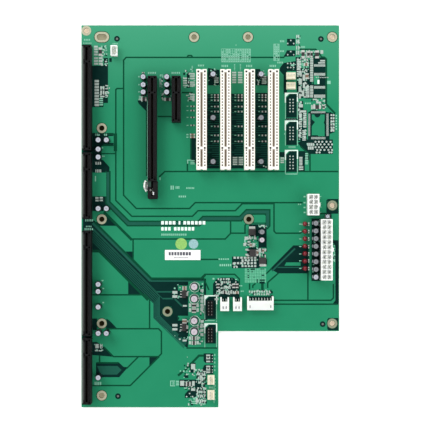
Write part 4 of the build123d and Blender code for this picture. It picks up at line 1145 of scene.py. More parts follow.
BAR_PADS = (
    (296.2, 39.6, 297.4, 43.6), (298.1, 39.6, 299.3, 43.6), (296.2, 50.6, 297.4, 54.6),
    (298.1, 50.6, 299.3, 54.6), (296.2, 35, 297.2, 38.2), (298.2, 35, 299.2, 38.2),
    (296.2, 46, 297.2, 49.6), (298.2, 46, 299.2, 49.6), (320.2, 60, 325, 61.5), (318.2, 62.2, 325, 63.5),
    (320.4, 50.2, 323.2, 53.8), (306.1, 50.4, 307, 57.8), (309.9, 51, 310.4, 57.4),
    (300.2, 110.4, 306.2, 112.4), (298.8, 104.2, 302.8, 107.4), (299, 113.4, 301.8, 117.4),
    (298.8, 166.4, 303.2, 167.8), (298.8, 168.6, 303.2, 170), (311.1, 105, 312.3, 109.2),
    (298.6, 72.2, 301.6, 76.8), (302.6, 74.6, 305.2, 80.6), (298.8, 78.6, 301.8, 84.6),
    (302.8, 82.8, 305, 88), (298.6, 86.4, 301.2, 92), (301.8, 90.6, 304.2, 96.2),
    (299, 93.8, 300.8, 98.6), (172.4, 291, 177.4, 293.6), (172.4, 295.2, 177.4, 297.8),
    (172.4, 324, 177.4, 326.4), (172.4, 328.2, 177.4, 330.4), (249.2, 236.3, 250.9, 239.4),
    (253.8, 236.3, 255.5, 239.4), (244.6, 236.6, 248.2, 239.8), (243.4, 243, 245.8, 246),
    (252.4, 243, 254.8, 246.6), (245.4, 248.8, 248.4, 250.4), (245.4, 253.8, 248.4, 255.4),
    (258.4, 248.6, 261.2, 252), (264.2, 248.6, 266.2, 251.4), (260.2, 264.4, 266.4, 266.4),
    (247.6, 241, 250.4, 242.6), (182.6, 339.6, 186.6, 341.4), (183, 305, 186.8, 306.6),
    (180.2, 380.8, 184.2, 385.8), (192, 381.2, 194.6, 385.8), (191.2, 388.2, 195.2, 390.8),
    (191, 364, 195.2, 369.2), (187, 356.8, 187.6, 357.4), (263, 165.4, 264.4, 166.8),
    (265.2, 166.2, 266.6, 167.6), (100.2, 86.2, 102, 89.6), (102.8, 86.2, 104.4, 89.6),
    (100.2, 90.6, 102, 94.2), (102.8, 90.6, 104.4, 94.2), (105.4, 85.2, 108.2, 86.2),
    (105.4, 88.2, 108.2, 89.2), (105.4, 91.2, 108.2, 92.2), (105.4, 95.2, 108.2, 96.2),
    (100.2, 95.8, 104.4, 97.2), (327, 214.6, 330, 218.4), (312.8, 98.8, 317, 100), (321, 98, 322.4, 99.4),
    (323.6, 100, 325, 101.4), (316.2, 101.6, 320.8, 103.4),
)
plates(pads, BAR_PADS, PAD_STEP)
PAIRS_ABOVE_CHIP = ((300.3, 57.6, 302.9, 59.4), (303.8, 57.6, 306.4, 59.4))
for box in PAIRS_ABOVE_CHIP:
    comb(pads, box, 2, 0.5, PAD_STEP, across=True)
PAD_COLUMNS = (  # rows, and the pad's box from each row
    ((290.6, 298.1, 301.6, 305.4, 309.0, 321.6, 325.6, 330.6, 334.6), (200.4, -1.5, 203.5, 1.1)),
    ((355.4, 358.5, 361.5, 366.5, 369.8, 372.2), (206.2, -0.8, 210.2, 0.7)),
    ([114.2 + 3.1 * k for k in range(6)], (330.6, 0, 332.2, 1.9)),
    ([114.2 + 3.1 * k for k in range(6)], (332.8, 0, 334.4, 1.9)),
)
for rows, box in PAD_COLUMNS:
    plates(pads, [moved(box, 0, row) for row in rows], PAD_STEP)

ROUND_PAD = 0.62
SMALL_ROUND_PAD = 0.48
TINY_ROUND_PAD = 0.3
ZIGZAG_PAD = 0.86
BOX_HEADER_COLUMNS = (290.0, 293.1)
BOX_HEADER_DOTS = ((99.6, 3), (127.4, 3), (156.3, 3.05))  # first row and pitch of each header's holes
SOCKET_DOTS = ((287.7, 290.7, 293.7), (63.5, 67.5))
THREE_DOTS = ((290.7, 40.4), (290.7, 51.6), (189.7, 371.3), (189.6, 393.5))  # upper dot of each three
THREE_SPREAD = ((0, 0), (-3, 3.1), (3, 3.1))
round_places = [
    (x, first + pitch * k) for first, pitch in BOX_HEADER_DOTS for k in range(5) for x in BOX_HEADER_COLUMNS
]
round_places += [(x, y) for x in SOCKET_DOTS[0] for y in SOCKET_DOTS[1]]
round_places += [(x + right, y + down) for x, y in THREE_DOTS for right, down in THREE_SPREAD]
dots(pads, round_places, ROUND_PAD, PAD_STEP)
ZIGZAG = (
    (141.8, (315.5, 318.9, 322.3, 326.5, 330.5)), (144.4, (317.2, 320.6, 324.4, 328.5, 332)),
    (147.2, (315.5, 318.9, 322.3, 326.5, 330.5)), (149.9, (317.2, 320.6, 324.4, 328.5, 332)),
    (152.4, (316.7, 319.6, 329.4, 331.6)),
)
for row, places in ZIGZAG:
    dots(pads, [(x, row) for x in places], ZIGZAG_PAD, PAD_STEP)
COPPER_DOTS = [(316.4 + 1.9 * k, 77.5) for k in range(7)]
LEG_DOTS = [(212.4, row) for row in PAD_COLUMNS[1][0]]
BETWEEN_BOXES_DOTS = [(287.0 + 2 * k, 119.2) for k in range(5)]
dots(pads, COPPER_DOTS + LEG_DOTS, SMALL_ROUND_PAD, PAD_STEP)
dots(pads, BETWEEN_BOXES_DOTS, TINY_ROUND_PAD, PAD_STEP)

# Small pads, marks and bare spots too fine to tell apart, strewn where the board is crowded
CROWDED = (  # left, top, right, bottom, then how many pads, pale marks and bare spots
    (296.8, 57.5, 302, 98, 20, 24, 16), (302, 69, 309.6, 98, 26, 22, 14),
    (302, 57.6, 309.6, 69, 6, 16, 10), (300.4, 50, 306, 58, 4, 8, 4), (306, 50, 320, 58, 8, 10, 8),
    (311, 99.5, 326, 110.4, 14, 16, 8), (297.6, 101, 302.6, 141, 14, 20, 8),
    (302.6, 111, 307, 141, 8, 12, 6), (286.6, 61.5, 296, 70, 0, 8, 4), (330, 113.6, 335, 132, 6, 10, 6),
    (195.4, 369, 207, 386, 24, 26, 34), (195.4, 386, 207, 404.6, 26, 30, 34),
    (183, 362, 196, 379, 4, 8, 14), (184, 380, 196, 390, 6, 10, 18), (188, 396, 207, 405.6, 4, 26, 10),
    (244, 235.6, 258, 248.6, 10, 14, 22), (256.4, 247.6, 267, 256.4, 8, 12, 16),
    (257.8, 224.6, 266.6, 229.4, 5, 4, 4), (232.6, 256.6, 258, 268.4, 4, 8, 8),
    (215, 278, 239.6, 296, 26, 26, 16), (173, 284, 190, 300, 4, 6, 4),
    (196.8, 283, 204.4, 316, 12, 10, 8), (196.8, 316, 204.4, 345, 12, 10, 8),
    (173, 317, 190, 345, 4, 8, 4), (98.6, 44.8, 108, 66, 10, 16, 6), (99.6, 84.6, 110, 98.6, 6, 12, 4),
    (137.8, 93.6, 147, 102, 4, 6, 5), (159.6, 74, 163.4, 92, 2, 10, 3), (160, 92.6, 172, 101.4, 5, 6, 6),
    (182.6, 68.6, 195.4, 88, 6, 16, 6), (186, 92.6, 195.4, 101.6, 5, 8, 4),
    (208.4, 69.6, 219.2, 86, 3, 10, 4), (255.6, 69.6, 267.2, 86, 4, 10, 4),
    (296.6, 34.6, 300.6, 56, 0, 8, 6), (93.6, 133.6, 100, 136.6, 0, 3, 2), (93, 342, 104, 352.4, 2, 6, 4),
    (248.6, 288.6, 273.8, 296, 4, 16, 14), (305, 142, 314.6, 150, 0, 6, 8),
    (311.6, 218.8, 320.2, 280, 0, 26, 0), (332.6, 243.2, 335.2, 262, 0, 18, 6),
)
PAD_SIZES = (0.9, 2.0)
CRUMB_SIZES = (0.5, 1.8)
BARE_SIZES = (0.8, 2.6)
crumbs, fine_bare = Shape(), Shape()
for *box, pad_count, mark_count, bare_count in CROWDED:
    scatter(pads, box, pad_count, PAD_SIZES, PAD_STEP + LIFT)
    scatter(crumbs, box, mark_count, CRUMB_SIZES, PRINT_STEP + LIFT)
    scatter(fine_bare, box, bare_count, BARE_SIZES, ISLAND_STEP + 2 * LIFT)
pads.make("pads", PAD_TIN, slot="tin_plate")
crumbs.make("fine_print", PALE_PRINT)
fine_bare.make("fine_bare_spots", LAMINATE)

# Clear forms in the middle of the fine-pitch pads
FINE_MARKS = (
    ((314.0, 113.8), (314.8, 116.0), (316.4, 117.4), (318.4, 117.4), (320.0, 116.0), (320.8, 113.8)),
    ((311.4, 119.0), (315.0, 122.0), (311.4, 126.6)), ((325.2, 118.4), (323.8, 122.4), (325.2, 126.6)),
    corners(312.0, 135.2, 318.0, 136.2),
)
fine_marks = Shape()
for outline in FINE_MARKS:
    area(fine_marks, outline, PRINT_STEP)
fine_marks.make("fine_pad_marks", LAMINATE)

# Small soldered parts: a body between two metal ends
resistors, ceramics, ends = Shape(), Shape(), Shape()
END_SHARE = 0.26
PART_LIFT = 0.05
END_RISE = 0.03
BODY_INSET = 0.05
BODY_LIFT = 0.02


def small_part(box, body, height):
    """Part over a rectangle of pixels, its metal ends along the longer side."""
    x0, y0, x1, y1 = box
    left, upper = spot(x0, y0)
    right, lower = spot(x1, y1)
    low, high = TOP + PART_LIFT, TOP + height
    end_levels, body_levels = (low, high + END_RISE), (low + BODY_LIFT, high)
    if right - left > upper - lower:
        cut = (right - left) * END_SHARE
        ends.block(left, lower, left + cut, upper, *end_levels)
        ends.block(right - cut, lower, right, upper, *end_levels)
        body.block(left + cut, lower + BODY_INSET, right - cut, upper - BODY_INSET, *body_levels)
    else:
        cut = (upper - lower) * END_SHARE
        ends.block(left, upper - cut, right, upper, *end_levels)
        ends.block(left, lower, right, lower + cut, *end_levels)
        body.block(left + BODY_INSET, lower + cut, right - BODY_INSET, upper - cut, *body_levels)


RESISTORS = (
    (98.6, 47.6, 101.9, 56), (301.6, 50.2, 304.6, 58.2), (315.2, 50.6, 319, 58.4),
    (307.2, 51.2, 309.4, 57.6), (310.6, 51.2, 312.6, 57.6), (313.2, 105, 321, 109),
    (322.6, 105, 324.6, 109), (216.4, 283.6, 219.6, 288), (232.2, 283.6, 235.2, 288),
    (235.6, 283.6, 238.4, 288), (191.8, 303.4, 196, 307.6), (191.8, 308.4, 196, 312.8),
    (191.8, 336.4, 196, 340.2), (191.8, 341, 196, 344.8), (185.8, 381.6, 190.6, 386.2),
    (206.4, 356.6, 210, 357.8), (206.4, 367.6, 210, 368.8), (222.8, 290.4, 226.4, 293.8),
    (188, 97.4, 190, 99.4), (141, 97.4, 146.6, 101.2), (164.2, 97.8, 170.8, 101),
    (142, 72.2, 144.4, 73.4),
)
CERAMICS = (
    (182.4, 286.2, 186.6, 290.2), (182.4, 319, 186.6, 323.4), (249.6, 243.2, 251.8, 246.8),
    (256.4, 250, 258.2, 255.2), (262.2, 248.6, 264, 252.6), (246.2, 257.2, 248.2, 258.4),
    (305.4, 73.4, 308.6, 79), (303.8, 63, 308.4, 66), (235, 291.2, 238.8, 293.8),
)
RESISTOR_HEIGHT = 0.55
CERAMIC_HEIGHT = 0.8
for box in RESISTORS:
    small_part(box, resistors, RESISTOR_HEIGHT)
for box in CERAMICS:
    small_part(box, ceramics, CERAMIC_HEIGHT)

# Rows of tiny parts between the bus slots, each with its printed mark: their columns, their rows,
# the part's box and the mark's box from there, what the part is and how high
GAP_ROWS = (95.0, 97.4, 100.4, 106.6, 111.6, 126.4, 135.4, 141.4)
TINY_PARTS = (
    ((214.2, 237.9, 261.7), GAP_ROWS, (0, -0.75, 4.6, 0.75), (-3.4, -0.5, -1.6, 0.3), resistors, 0.4),
    ((190.6,), (106.3, 110.6, 117.4, 125.4), (0, -0.7, 3.8, 0.7), (-4, -0.5, -2.2, 0.4), resistors, 0.4),
    ((190.0,), (134.6, 137.2), (0, -0.9, 5, 0.9), (-3.6, -0.6, -1.6, 0.6), ceramics, 0.5),
)
SLOT_FOOT_MARKS = ((187.2, 159.6, 191.2, 160.6), (187.2, 160.6, 188.2, 163.6))
SLOT_FOOT_BARS = (190.4, 160.2, 194.6, 165.0)
gap_marks = Shape()
for columns, rows, part, mark, body, height in TINY_PARTS:
    for column in columns:
        for row in rows:
            small_part(moved(part, column, row), body, height)
            plate(gap_marks, *moved(mark, column, row), PRINT_STEP)
plates(gap_marks, SLOT_FOOT_MARKS, PRINT_STEP)
comb(gap_marks, SLOT_FOOT_BARS, 3, 0.55, PRINT_STEP)
gap_marks.make("part_marks", PALE_PRINT)
resistors.make("resistor_bodies", COMPOUND, slot="mould_compound")
ceramics.make("ceramic_bodies", CERAMIC, slot="mould_compound")
ends.make("small_part_ends", TIN, slot="tin_plate")

# Card slots: rounded housings, ribs between the contact windows, and springs in the channel

HOST_SLOTS = [f"host_slot_{letter}" for letter in "abcd"]
EXPRESS_SLOTS = HOST_SLOTS + ["graphics_slot", "short_slot"]
BUS_SLOTS = [f"bus_slot_{i}" for i in range(1, 5)]
for name in EXPRESS_SLOTS:
    softened(name, BLACK_NYLON)
for name in BUS_SLOTS:
    softened(name, IVORY_NYLON, bevel=0.12)
softened("latch_frame", BLACK_NYLON)
softened("latch_lever", WHITE_NYLON, body="latch_lever")

# The slots' measures, which follow the CAD source. RIM_DROP and LIP_DROP are how far ribs and
# window lips stay below a slot's rim, and TIP_LENGTH is a tip's length against its width.
CARD_HALF_GAP = 0.9
RIM_DROP = 0.06
LIP_DROP = 0.07
WINDOW_LIP = 0.2
TIP_LENGTH = 0.37
EXPRESS = {
    "first": 3.5, "pitch": 1.0, "key": 14.2, "key_room": 1.6, "end_room": 3.4, "row": 2.3, "rib": 0.42,
    "rib_width": 1.0, "rib_depth": 1.2, "spring_top": 3.2, "spring_foot": 8.2, "spring_reach": 0.5,
    "spring": 0.5, "joint_rows": (1.0, 3.0), "tip_share": 0.55, "tip_level": 0.55,
}
BUS = {
    "first": 3.05, "pitch": 1.27, "key": 66.55, "key_room": 1.8, "end_room": 3.0, "row": 2.75, "rib": 1.3,
    "rib_width": 1.45, "rib_depth": 3.0, "spring_top": 0.75, "spring_foot": 7.6, "spring_reach": 0.82,
    "spring": 0.95, "joint_rows": (1.5, 3.6), "tip_share": 0.95, "tip_level": 0.35,
}
COVERED_WINDOWS = (51, 61)


def slot_stations(node, kind):
    """Centre line, upper rim, and number and y of each contact of a slot, from its upper end down."""
    low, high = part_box(node)
    middle = (low.x + high.x) / 2 / MM
    length = (high.y - low.y) / MM
    stations = []
    number = 0
    down = kind["first"] + kind["pitch"] / 2
    while down < length - kind["first"]:
        clear_of_key = abs(down - kind["key"]) > kind["key_room"]
        if clear_of_key and kind["end_room"] < down < length - kind["end_room"]:
            stations.append((number, high.y / MM - down))
        number += 1
        down += kind["pitch"]
    return middle, high.z / MM, stations


def slot_contacts(node, kind, ribs, springs, tips, joints, every=1):
    """Ribs, window tips, channel springs and solder joints of one slot, ribs by side."""
    middle, rim, stations = slot_stations(node, kind)
    kept = {number for number, _ in stations}
    for number, y in stations:
        for side in (-1, 1):
            outer = middle + side * CARD_HALF_GAP
            inner = middle + side * (CARD_HALF_GAP - kind["spring_reach"])
            half = kind["spring"] / 2
            foot, head = rim - kind["spring_foot"], rim - kind["spring_top"]
            springs.block(outer, y - half, inner, y + half, foot, head)
            joints.append((middle + side * kind["joint_rows"][number % 2], y))
            if number % every < every - 1:
                continue
            row, floor = middle + side * kind["row"], rim - kind["rib_depth"]
            left, right = row - kind["rib_width"] / 2, row + kind["rib_width"] / 2
            edge = y + kind["pitch"] * every / 2
            if every == 1 or number - 1 in kept:
                lower, upper = edge - kind["rib"] / 2, edge + kind["rib"] / 2
                ribs[side].block(left, lower, right, upper, floor, rim - RIM_DROP)
            if every == 2:
                lower, upper = y - kind["pitch"], y + kind["pitch"]
                for strip in (left, right - WINDOW_LIP):
                    ribs[side].block(strip, lower, strip + WINDOW_LIP, upper, floor, rim - LIP_DROP)
            tip_width = kind["rib_width"] / 2 * kind["tip_share"]
            tip_length = kind["tip_share"] * TIP_LENGTH * every
            tip_top = rim - kind["rib_depth"] * kind["tip_level"]
            tips.block(row - tip_width, y - tip_length, row + tip_width, y + tip_length, floor, tip_top)


slot_ribs, sheen_ribs, bus_ribs = Shape(), Shape(), Shape()
slot_springs, bus_springs = Shape(), Shape()
slot_tips, bus_window_marks = Shape(), Shape()
slot_joints = []
for name in EXPRESS_SLOTS:
    # The host slots' left row of ribs takes the painted sheen of their outer edge.
    by_side = {-1: sheen_ribs if name.startswith("host") else slot_ribs, 1: slot_ribs}
    slot_contacts(name, EXPRESS, by_side, slot_springs, slot_tips, slot_joints)
for name in BUS_SLOTS:
    slot_contacts(name, BUS, {-1: bus_ribs, 1: bus_ribs}, bus_springs, bus_window_marks, slot_joints, every=2)

# The outer edge of the host slots has a painted sheen: lighter grey strips on its rim and a lighter left
# row of ribs stand for the light it catches from the paper
EDGE_STRIP = (0.12, 0.9)
EDGE_ENDS = 1.2
SKIN = (-0.3, 0.015)
sheen_strips = Shape()
for name in HOST_SLOTS:
    low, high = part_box(name)
    left, right = (low.x / MM + inset for inset in EDGE_STRIP)
    lower, upper = low.y / MM + EDGE_ENDS, high.y / MM - EDGE_ENDS
    sheen_strips.block(left, lower, right, upper, *(high.z / MM + level for level in SKIN))
sheen_strips.make("slot_edge_strips", EDGE_SHEEN, slot="black_nylon")
sheen_ribs.make("slot_edge_ribs", RIB_SHEEN, slot="black_nylon")
slot_ribs.make("slot_ribs", RIB_BLACK, slot="black_nylon")
slot_springs.make("slot_springs", DIM_SPRING, slot="gold_plate")
slot_tips.make("slot_tips", TIP, slot="tin_plate")
bus_ribs.make("bus_slot_ribs", IVORY_NYLON, slot="ivory_nylon")
bus_springs.make("bus_slot_springs", SPRING, slot="gold_plate")

# Two windows of each row that have no groove in the CAD are marked on the housing with dark patches,
# painted shade of a window opening
WINDOW_HALF_WIDTH = 0.6
WINDOW_HALF_LENGTH = 0.62
for name in BUS_SLOTS:
    middle, rim, stations = slot_stations(name, BUS)
    for number, y in stations:
        if number in COVERED_WINDOWS:
            for row in (middle - BUS["row"], middle + BUS["row"]):
                left, right = row - WINDOW_HALF_WIDTH, row + WINDOW_HALF_WIDTH
                lower, upper = y - WINDOW_HALF_LENGTH, y + WINDOW_HALF_LENGTH
                bus_window_marks.block(left, lower, right, upper, *(rim + level for level in SKIN))
bus_window_marks.make("bus_slot_tips", BUS_WINDOW_SHADE, slot="tin_plate")

# Dark floors of the core pits at the bus slots' ends and keys, and of the wafers' slits: painted shade in
# these recesses
PIT_PLACES = (1.95, BUS["key"])
PIT_MOUTH = 0.8
PIT_HALF = 0.58
PIT_FLOOR = 2.4
FLOOR_THICKNESS = 0.3
pit_shade_floors = Shape()
for name in BUS_SLOTS:
    low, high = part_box(name)
    middle, rim = (low.x + high.x) / 2 / MM, high.z / MM
    floor = rim - PIT_FLOOR
    for down in PIT_PLACES:
        y = high.y / MM - down
        for x in (middle - BUS["row"], middle + BUS["row"]):
            mouth, bore = square(x, y, PIT_MOUTH), square(x, y, PIT_HALF)
            pit_shade_floors.washer(mouth, bore, floor, rim + ROOT)
            pit_shade_floors.prism(bore, floor - FLOOR_THICKNESS, floor + ROOT)
SLIT_HALF_WIDTH = 0.28
SLIT_HALF_LENGTH = 1.05
SLIT_FROM_MOUTH = 3.0
SLIT_FROM_SIDE = 2.4
SLIT_LEVELS = (-0.8, -0.2)
SIDE_WAFERS = ("signal_wafer", "switch_wafer_1", "switch_wafer_2")
for name in SIDE_WAFERS:
    low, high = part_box(name)
    y = low.y / MM + SLIT_FROM_MOUTH
    lower, upper = y - SLIT_HALF_LENGTH, y + SLIT_HALF_LENGTH
    for x in (low.x / MM + SLIT_FROM_SIDE, high.x / MM - SLIT_FROM_SIDE):
        levels = (high.z / MM + level for level in SLIT_LEVELS)
        pit_shade_floors.block(x - SLIT_HALF_WIDTH, lower, x + SLIT_HALF_WIDTH, upper, *levels)
pit_shade_floors.make("pit_shade_floors", PIT_SHADE, slot="black_nylon")

# Card latch: the thumb rim's web beside the frame, a white peg and a rivet, and a painted sheen on the
# frame's top
latch_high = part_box("latch_frame")[1]
LATCH_TOP = latch_high.z / MM
LATCH_HEIGHT = LATCH_TOP - TOP
PIVOT_FROM_SLOT_LINE = 1.6
PIVOT_FROM_FRAME_END = 3.9
WEB_RADIUS = 7.15
WEB_EDGE = 5.7
WEB_ANGLES = (-24, -16, -8, 0, 8, 16, 24, 32, 36)
WEB_LEVELS = (3.5, 5.9)
PEG = (153.4, 193.4)
PEG_HALF_WIDTH = 0.5
PEG_HALF_LENGTH = 1.3
PEG_LEVELS = (-1.2, 0.12)
RIVET = (150.6, 190.2)
RIVET_PROFILE = ((0, -0.3), (0.8, -0.3), (0.8, 0.05), (0.5, 0.15), (0, 0.18))
# Lighter green-grey patch on the frame's top: painted sheen.
SHEEN = (147.9, 180.6, 151.0, 186.8)
SHEEN_LEVELS = (-0.3, 0.02)
slot_low, slot_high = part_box("graphics_slot")
pivot_x = (slot_low.x + slot_high.x) / 2 / MM + PIVOT_FROM_SLOT_LINE
pivot_y = latch_high.y / MM - PIVOT_FROM_FRAME_END
web, peg, rivet, sheen = Shape(), Shape(), Shape(), Shape()
rim_line = arc(pivot_x, pivot_y, -WEB_RADIUS, WEB_ANGLES)
edge_line = [(pivot_x - WEB_EDGE, rim_line[-1][1]), (pivot_x - WEB_EDGE, rim_line[0][1])]
web.prism(rim_line + edge_line, *(TOP + level for level in WEB_LEVELS))
web.make("latch_thumb_web", WHITE_NYLON, body="latch_lever", slot="white_nylon")
x, y = spot(*PEG, LATCH_HEIGHT)
outline = corners(x - PEG_HALF_WIDTH, y - PEG_HALF_LENGTH, x + PEG_HALF_WIDTH, y + PEG_HALF_LENGTH)
peg.prism(outline, *(LATCH_TOP + level for level in PEG_LEVELS))
profile = [(radius, LATCH_TOP + level) for radius, level in RIVET_PROFILE]
rivet.spin(*spot(*RIVET, LATCH_HEIGHT), profile)
left, upper = spot(*SHEEN[:2], LATCH_HEIGHT)
right, lower = spot(*SHEEN[2:], LATCH_HEIGHT)
sheen.block(left, lower, right, upper, *(LATCH_TOP + level for level in SHEEN_LEVELS))
peg.make("latch_peg", WHITE_NYLON, slot="white_nylon")
rivet.make("latch_rivet", AGED_TIN, slot="tin_plate", smooth=True)
sheen.make("latch_painted_sheen", LATCH_SHEEN, slot="black_nylon")

# Power headers, wafers, fan headers and pin headers

HEADER_BEVEL = 0.15
PIN_BEVEL = 0.08
FANS = range(1, 5)
POWER_PINS = ("main_power_pins", "cpu_power_pins")
BENT_PINS = ("signal_wafer_pins", "switch_wafer_pins_1", "switch_wafer_pins_2")
FAN_PINS = tuple(f"fan_header_pins_{i}" for i in FANS)
for name in ("main_power_header", "cpu_power_header", *SIDE_WAFERS, "sensor_wafer"):
    softened(name, WHITE_NYLON, bevel=HEADER_BEVEL)
for i in FANS:
    softened(f"fan_header_{i}", CREAM_NYLON, bevel=HEADER_BEVEL)
for i in (1, 2):
    softened(f"pin_header_{i}", BLACK_NYLON, bevel=0.1)
    softened(f"pin_header_posts_{i}", AGED_TIN, bevel=PIN_BEVEL)
for name in (*POWER_PINS, *BENT_PINS, "sensor_wafer_pins", *FAN_PINS):
    softened(name, TIN, bevel=PIN_BEVEL)
softened("regulator_bodies", COMPOUND, bevel=0.08)
softened("chip_bodies", COMPOUND, bevel=0.06)
softened("regulator_metal", TIN, bevel=0.05)
softened("chip_metal", TIN, bevel=0.05)

# Floors of the power headers' cells, high enough to catch the light
CELL_HALF = 1.5
CELL_DEPTH = 1.5
CELL_FLOOR_THICKNESS = 0.4
PIN_HALF = 0.62
cell_floors = Shape()
for name in POWER_PINS:
    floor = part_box(name.replace("_pins", "_header"))[1].z / MM - CELL_DEPTH
    for x, y in middles(name):
        opening = square(x, y, PIN_HALF)
        cell_floors.washer(square(x, y, CELL_HALF), opening, floor - CELL_FLOOR_THICKNESS, floor)
cell_floors.make("power_cell_floors", WHITE_NYLON, slot="white_nylon")

# Lamps: a domed lens on a wider flange

FLANGE_LIP = 0.45
LENS_LIP = 0.15
LENS_SHIFT = 0.25
FLANGE_LEVELS = (0.7, 0.8, 0.85)
FLANGE_ROUND = 0.08
LEAD_HALF_PITCH = 1.27
lamp_joints = []
for i in range(1, 8):
    (low, high), = islands(f"status_lamp_{i}")
    x, y = (low[0] + high[0]) / 2, (low[1] + high[1]) / 2
    radius, tip = (high[0] - low[0]) / 2, high[2]
    lens = Shape()
    body_radius, rim_radius = radius + LENS_LIP, radius + FLANGE_LIP
    side, bend, shoulder = (TOP + level for level in FLANGE_LEVELS)
    flange = [
        (rim_radius, TOP), (rim_radius, side), (rim_radius - FLANGE_ROUND, bend), (body_radius, shoulder),
    ]
    dome = arc(0, tip - body_radius, body_radius, range(0, 90, 15))
    lens.spin(x + LENS_SHIFT, y, [(0, TOP)] + flange + dome + [(0, tip)], 32)
    made = lens.make(f"lamp_lens_{i}", RED_LENS, slot="red_lens", smooth=True)
    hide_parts(f"status_lamp_{i}")
    lamp_joints += [(x - LEAD_HALF_PITCH, y), (x + LEAD_HALF_PITCH, y)]

# Capacitors: each solid of the CAD group gets a sleeved can with a scored metal top, its score lines dark
# plates of painted shade in the grooves

CAN_SIDES = 30
WARM_CAN = (262.1, 240.2)
WARM_CAN_REACH = 2
LARGE_CAN_RADIUS = 3
DIM_CANS = [(212.4, 115), (260.6, 115), (212.4, 160), (260.6, 160), (262, 231.5)]
DIM_CANS += [(315.6, 223.2 + 7.75 * k) for k in range(7)]
DIM_CAN_REACH = 2.4
SLEEVE_LIP = 0.42
SLEEVE_FOOT = (  # distance inside the can's radius, and height above the board
    (0.5, 0.3), (0.15, 0.5), (0, 0.9), (0, 1.6), (0.2, 1.85), (0.2, 2.25), (0, 2.6),
)
SLEEVE_RIM = ((0, 0.5), (0.1, 0.18), (0.26, 0))  # distance inside the radius, and below the top
TOP_DISC = ((0.02, 0.5), (0.02, 0.16), (0.16, 0.06))  # the same, inside the sleeve's lip
SCORE_HALF_WIDTH = 0.05
SCORE_INSET = 0.5
SCORE_LEVELS = (-0.1, -0.045)
STRIPE_RISE = 0.012
STRIPE_ROOT = 0.1
STRIPE_LEVELS = (2.7, -0.55)
LEAD_SHARE = 0.4
sleeves, tops, warm_tops, dim_tops, stripes, scores = Shape(), Shape(), Shape(), Shape(), Shape(), Shape()
can_joints = []
for low, high in islands("capacitors"):
    x, y = (low[0] + high[0]) / 2, (low[1] + high[1]) / 2
    radius, top = (high[0] - low[0]) / 2, high[2]
    dim = any(math.dist((x, y), spot(*place, top - TOP)) < DIM_CAN_REACH for place in DIM_CANS)
    warm = radius > LARGE_CAN_RADIUS or math.dist((x, y), spot(*WARM_CAN, top - TOP)) < WARM_CAN_REACH
    inner = radius - SLEEVE_LIP
    foot = [(radius - inset, TOP + level) for inset, level in SLEEVE_FOOT]
    rim = [(radius - inset, top - drop) for inset, drop in SLEEVE_RIM]
    well = [(inner, top - 0.03), (inner - 0.04, top - 0.3), (0, top - 0.3)]
    sleeves.spin(x, y, [(0, foot[0][1])] + foot + rim + well, CAN_SIDES)
    face = [(inner - inset, top - drop) for inset, drop in TOP_DISC]
    disc = warm_tops if warm else dim_tops if dim else tops
    disc.spin(x, y, [(0, face[0][1])] + face + [(0, face[-1][1])], CAN_SIDES)
    # Score lines: real scores, drawn as dark plates just above the top, painted shade of the grooves.
    for turn in (0, 60, 120):
        way = Vector((math.cos(math.radians(turn)), math.sin(math.radians(turn))))
        side = Vector((-way.y, way.x)) * SCORE_HALF_WIDTH
        reach = way * (inner - SCORE_INSET)
        score = [Vector((x, y)) + p for p in (-reach - side, reach - side, reach + side, side - reach)]
        scores.prism([tuple(p) for p in score], *(top + level for level in SCORE_LEVELS))
    band = arc(x, y, radius + STRIPE_RISE, range(150, 211, 6))
    core = arc(x, y, radius - STRIPE_ROOT, range(210, 149, -6))
    stripes.prism(band + core, TOP + STRIPE_LEVELS[0], top + STRIPE_LEVELS[1])
    can_joints += [(x, y - radius * LEAD_SHARE), (x, y + radius * LEAD_SHARE)]
made = sleeves.make("capacitor_sleeves", SLEEVE, slot="can_sleeve", smooth=True)
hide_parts("capacitors")
tops.make("capacitor_tops", CAN_TOP, slot="can_sleeve", smooth=True)
dim_tops.make("dim_capacitor_tops", DIM_CAN_TOP, slot="can_sleeve", smooth=True)
warm_tops.make("large_capacitor_tops", WARM_CAN_TOP, slot="can_sleeve", smooth=True)
scores.make("capacitor_scores", TIP, slot="can_sleeve")
stripes.make("capacitor_stripes", STRIPE, slot="can_sleeve")

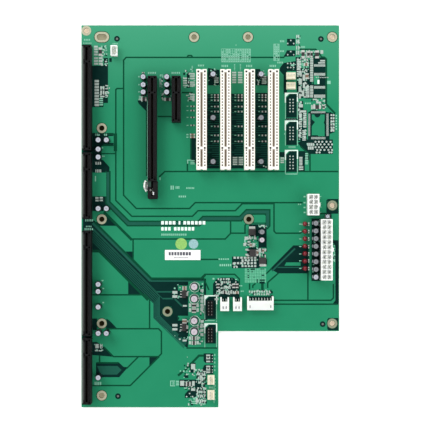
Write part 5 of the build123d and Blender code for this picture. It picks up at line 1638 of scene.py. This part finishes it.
# Under side: a solder joint for each contact, pin and lead. The profiles are radius and height
# against the board's under face.
BENT_PIN_FOOT = 0.32
LEAD_PROFILE = (
    (0, -1.05), (0.2, -1.05), (0.26, -0.6), (0.42, -0.28), (0.68, -0.05), (0.7, ROOT), (0, ROOT),
)
PIN_PROFILE = ((0, -0.85), (0.42, -0.85), (0.6, -0.45), (0.95, -0.06), (0.98, ROOT), (0, ROOT))
JOINT_SIDES = 10


def joint_field(name, places, profile, scale=1.0):
    """One solder joint under each place, as one object."""
    field = Shape()
    for x, y in places:
        field.spin(x, y, [(radius * scale, UNDER + height) for radius, height in profile], JOINT_SIDES)
    field.make(name, SOLDER, slot="tin_plate", smooth=True)


def bent_feet(node):
    """Foot of each bent pin of a node, which goes through the board at its upper end."""
    return [((low[0] + high[0]) / 2, high[1] - BENT_PIN_FOOT) for low, high in islands(node)]


small_pins = []
for name in ("sensor_wafer_pins", "pin_header_posts_1", "pin_header_posts_2", *FAN_PINS):
    small_pins += middles(name)
for name in BENT_PINS:
    small_pins += bent_feet(name)
joint_field("slot_joints", slot_joints, LEAD_PROFILE, 0.8)
joint_field("lead_joints", can_joints + lamp_joints, LEAD_PROFILE)
joint_field("pin_joints", small_pins, PIN_PROFILE)
joint_field("power_joints", [place for name in POWER_PINS for place in middles(name)], PIN_PROFILE, 1.6)

# Stage: cards on the floor under the holes, which look dark, tan or pale in the photograph.
# The dark cards are painted shadow of the board; the tan and pale cards glow with painted light seen
# through the holes.
CARD_RADIUS = 6
CARD_LEVELS = (0.02, 0.06)
CARDS = (
    ("painted_shadow_cards", SHADOW_CARD, ((17.4, 87.9), (17.4, 165.8), (143.1, 165.8), (73.6, 244.7), (17.4, 254.9))),
    ("tan_glow_cards", TAN_GLOW_CARD, ((17.4, 316.5), (17.4, 10.05), (96.3, 10.05), (142.4, 10.05))),
    ("pale_glow_cards", PALE_GLOW_CARD, ((4.2, 4.6), (214.48, 10.05), (214.48, 154.0), (214.48, 254.9))),
)
for name, colour, places in CARDS:
    card = Shape()
    for from_left, from_top in places:
        radius = min(CARD_RADIUS, from_left, from_top, 2 * HALF_WIDTH - from_left)
        card.disc(from_left - HALF_WIDTH, HALF_LENGTH - from_top, radius, *CARD_LEVELS, 24)
    mesh_object(name, card.points, card.faces, colour)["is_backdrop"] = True

# Bounds of the dressed part

low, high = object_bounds()
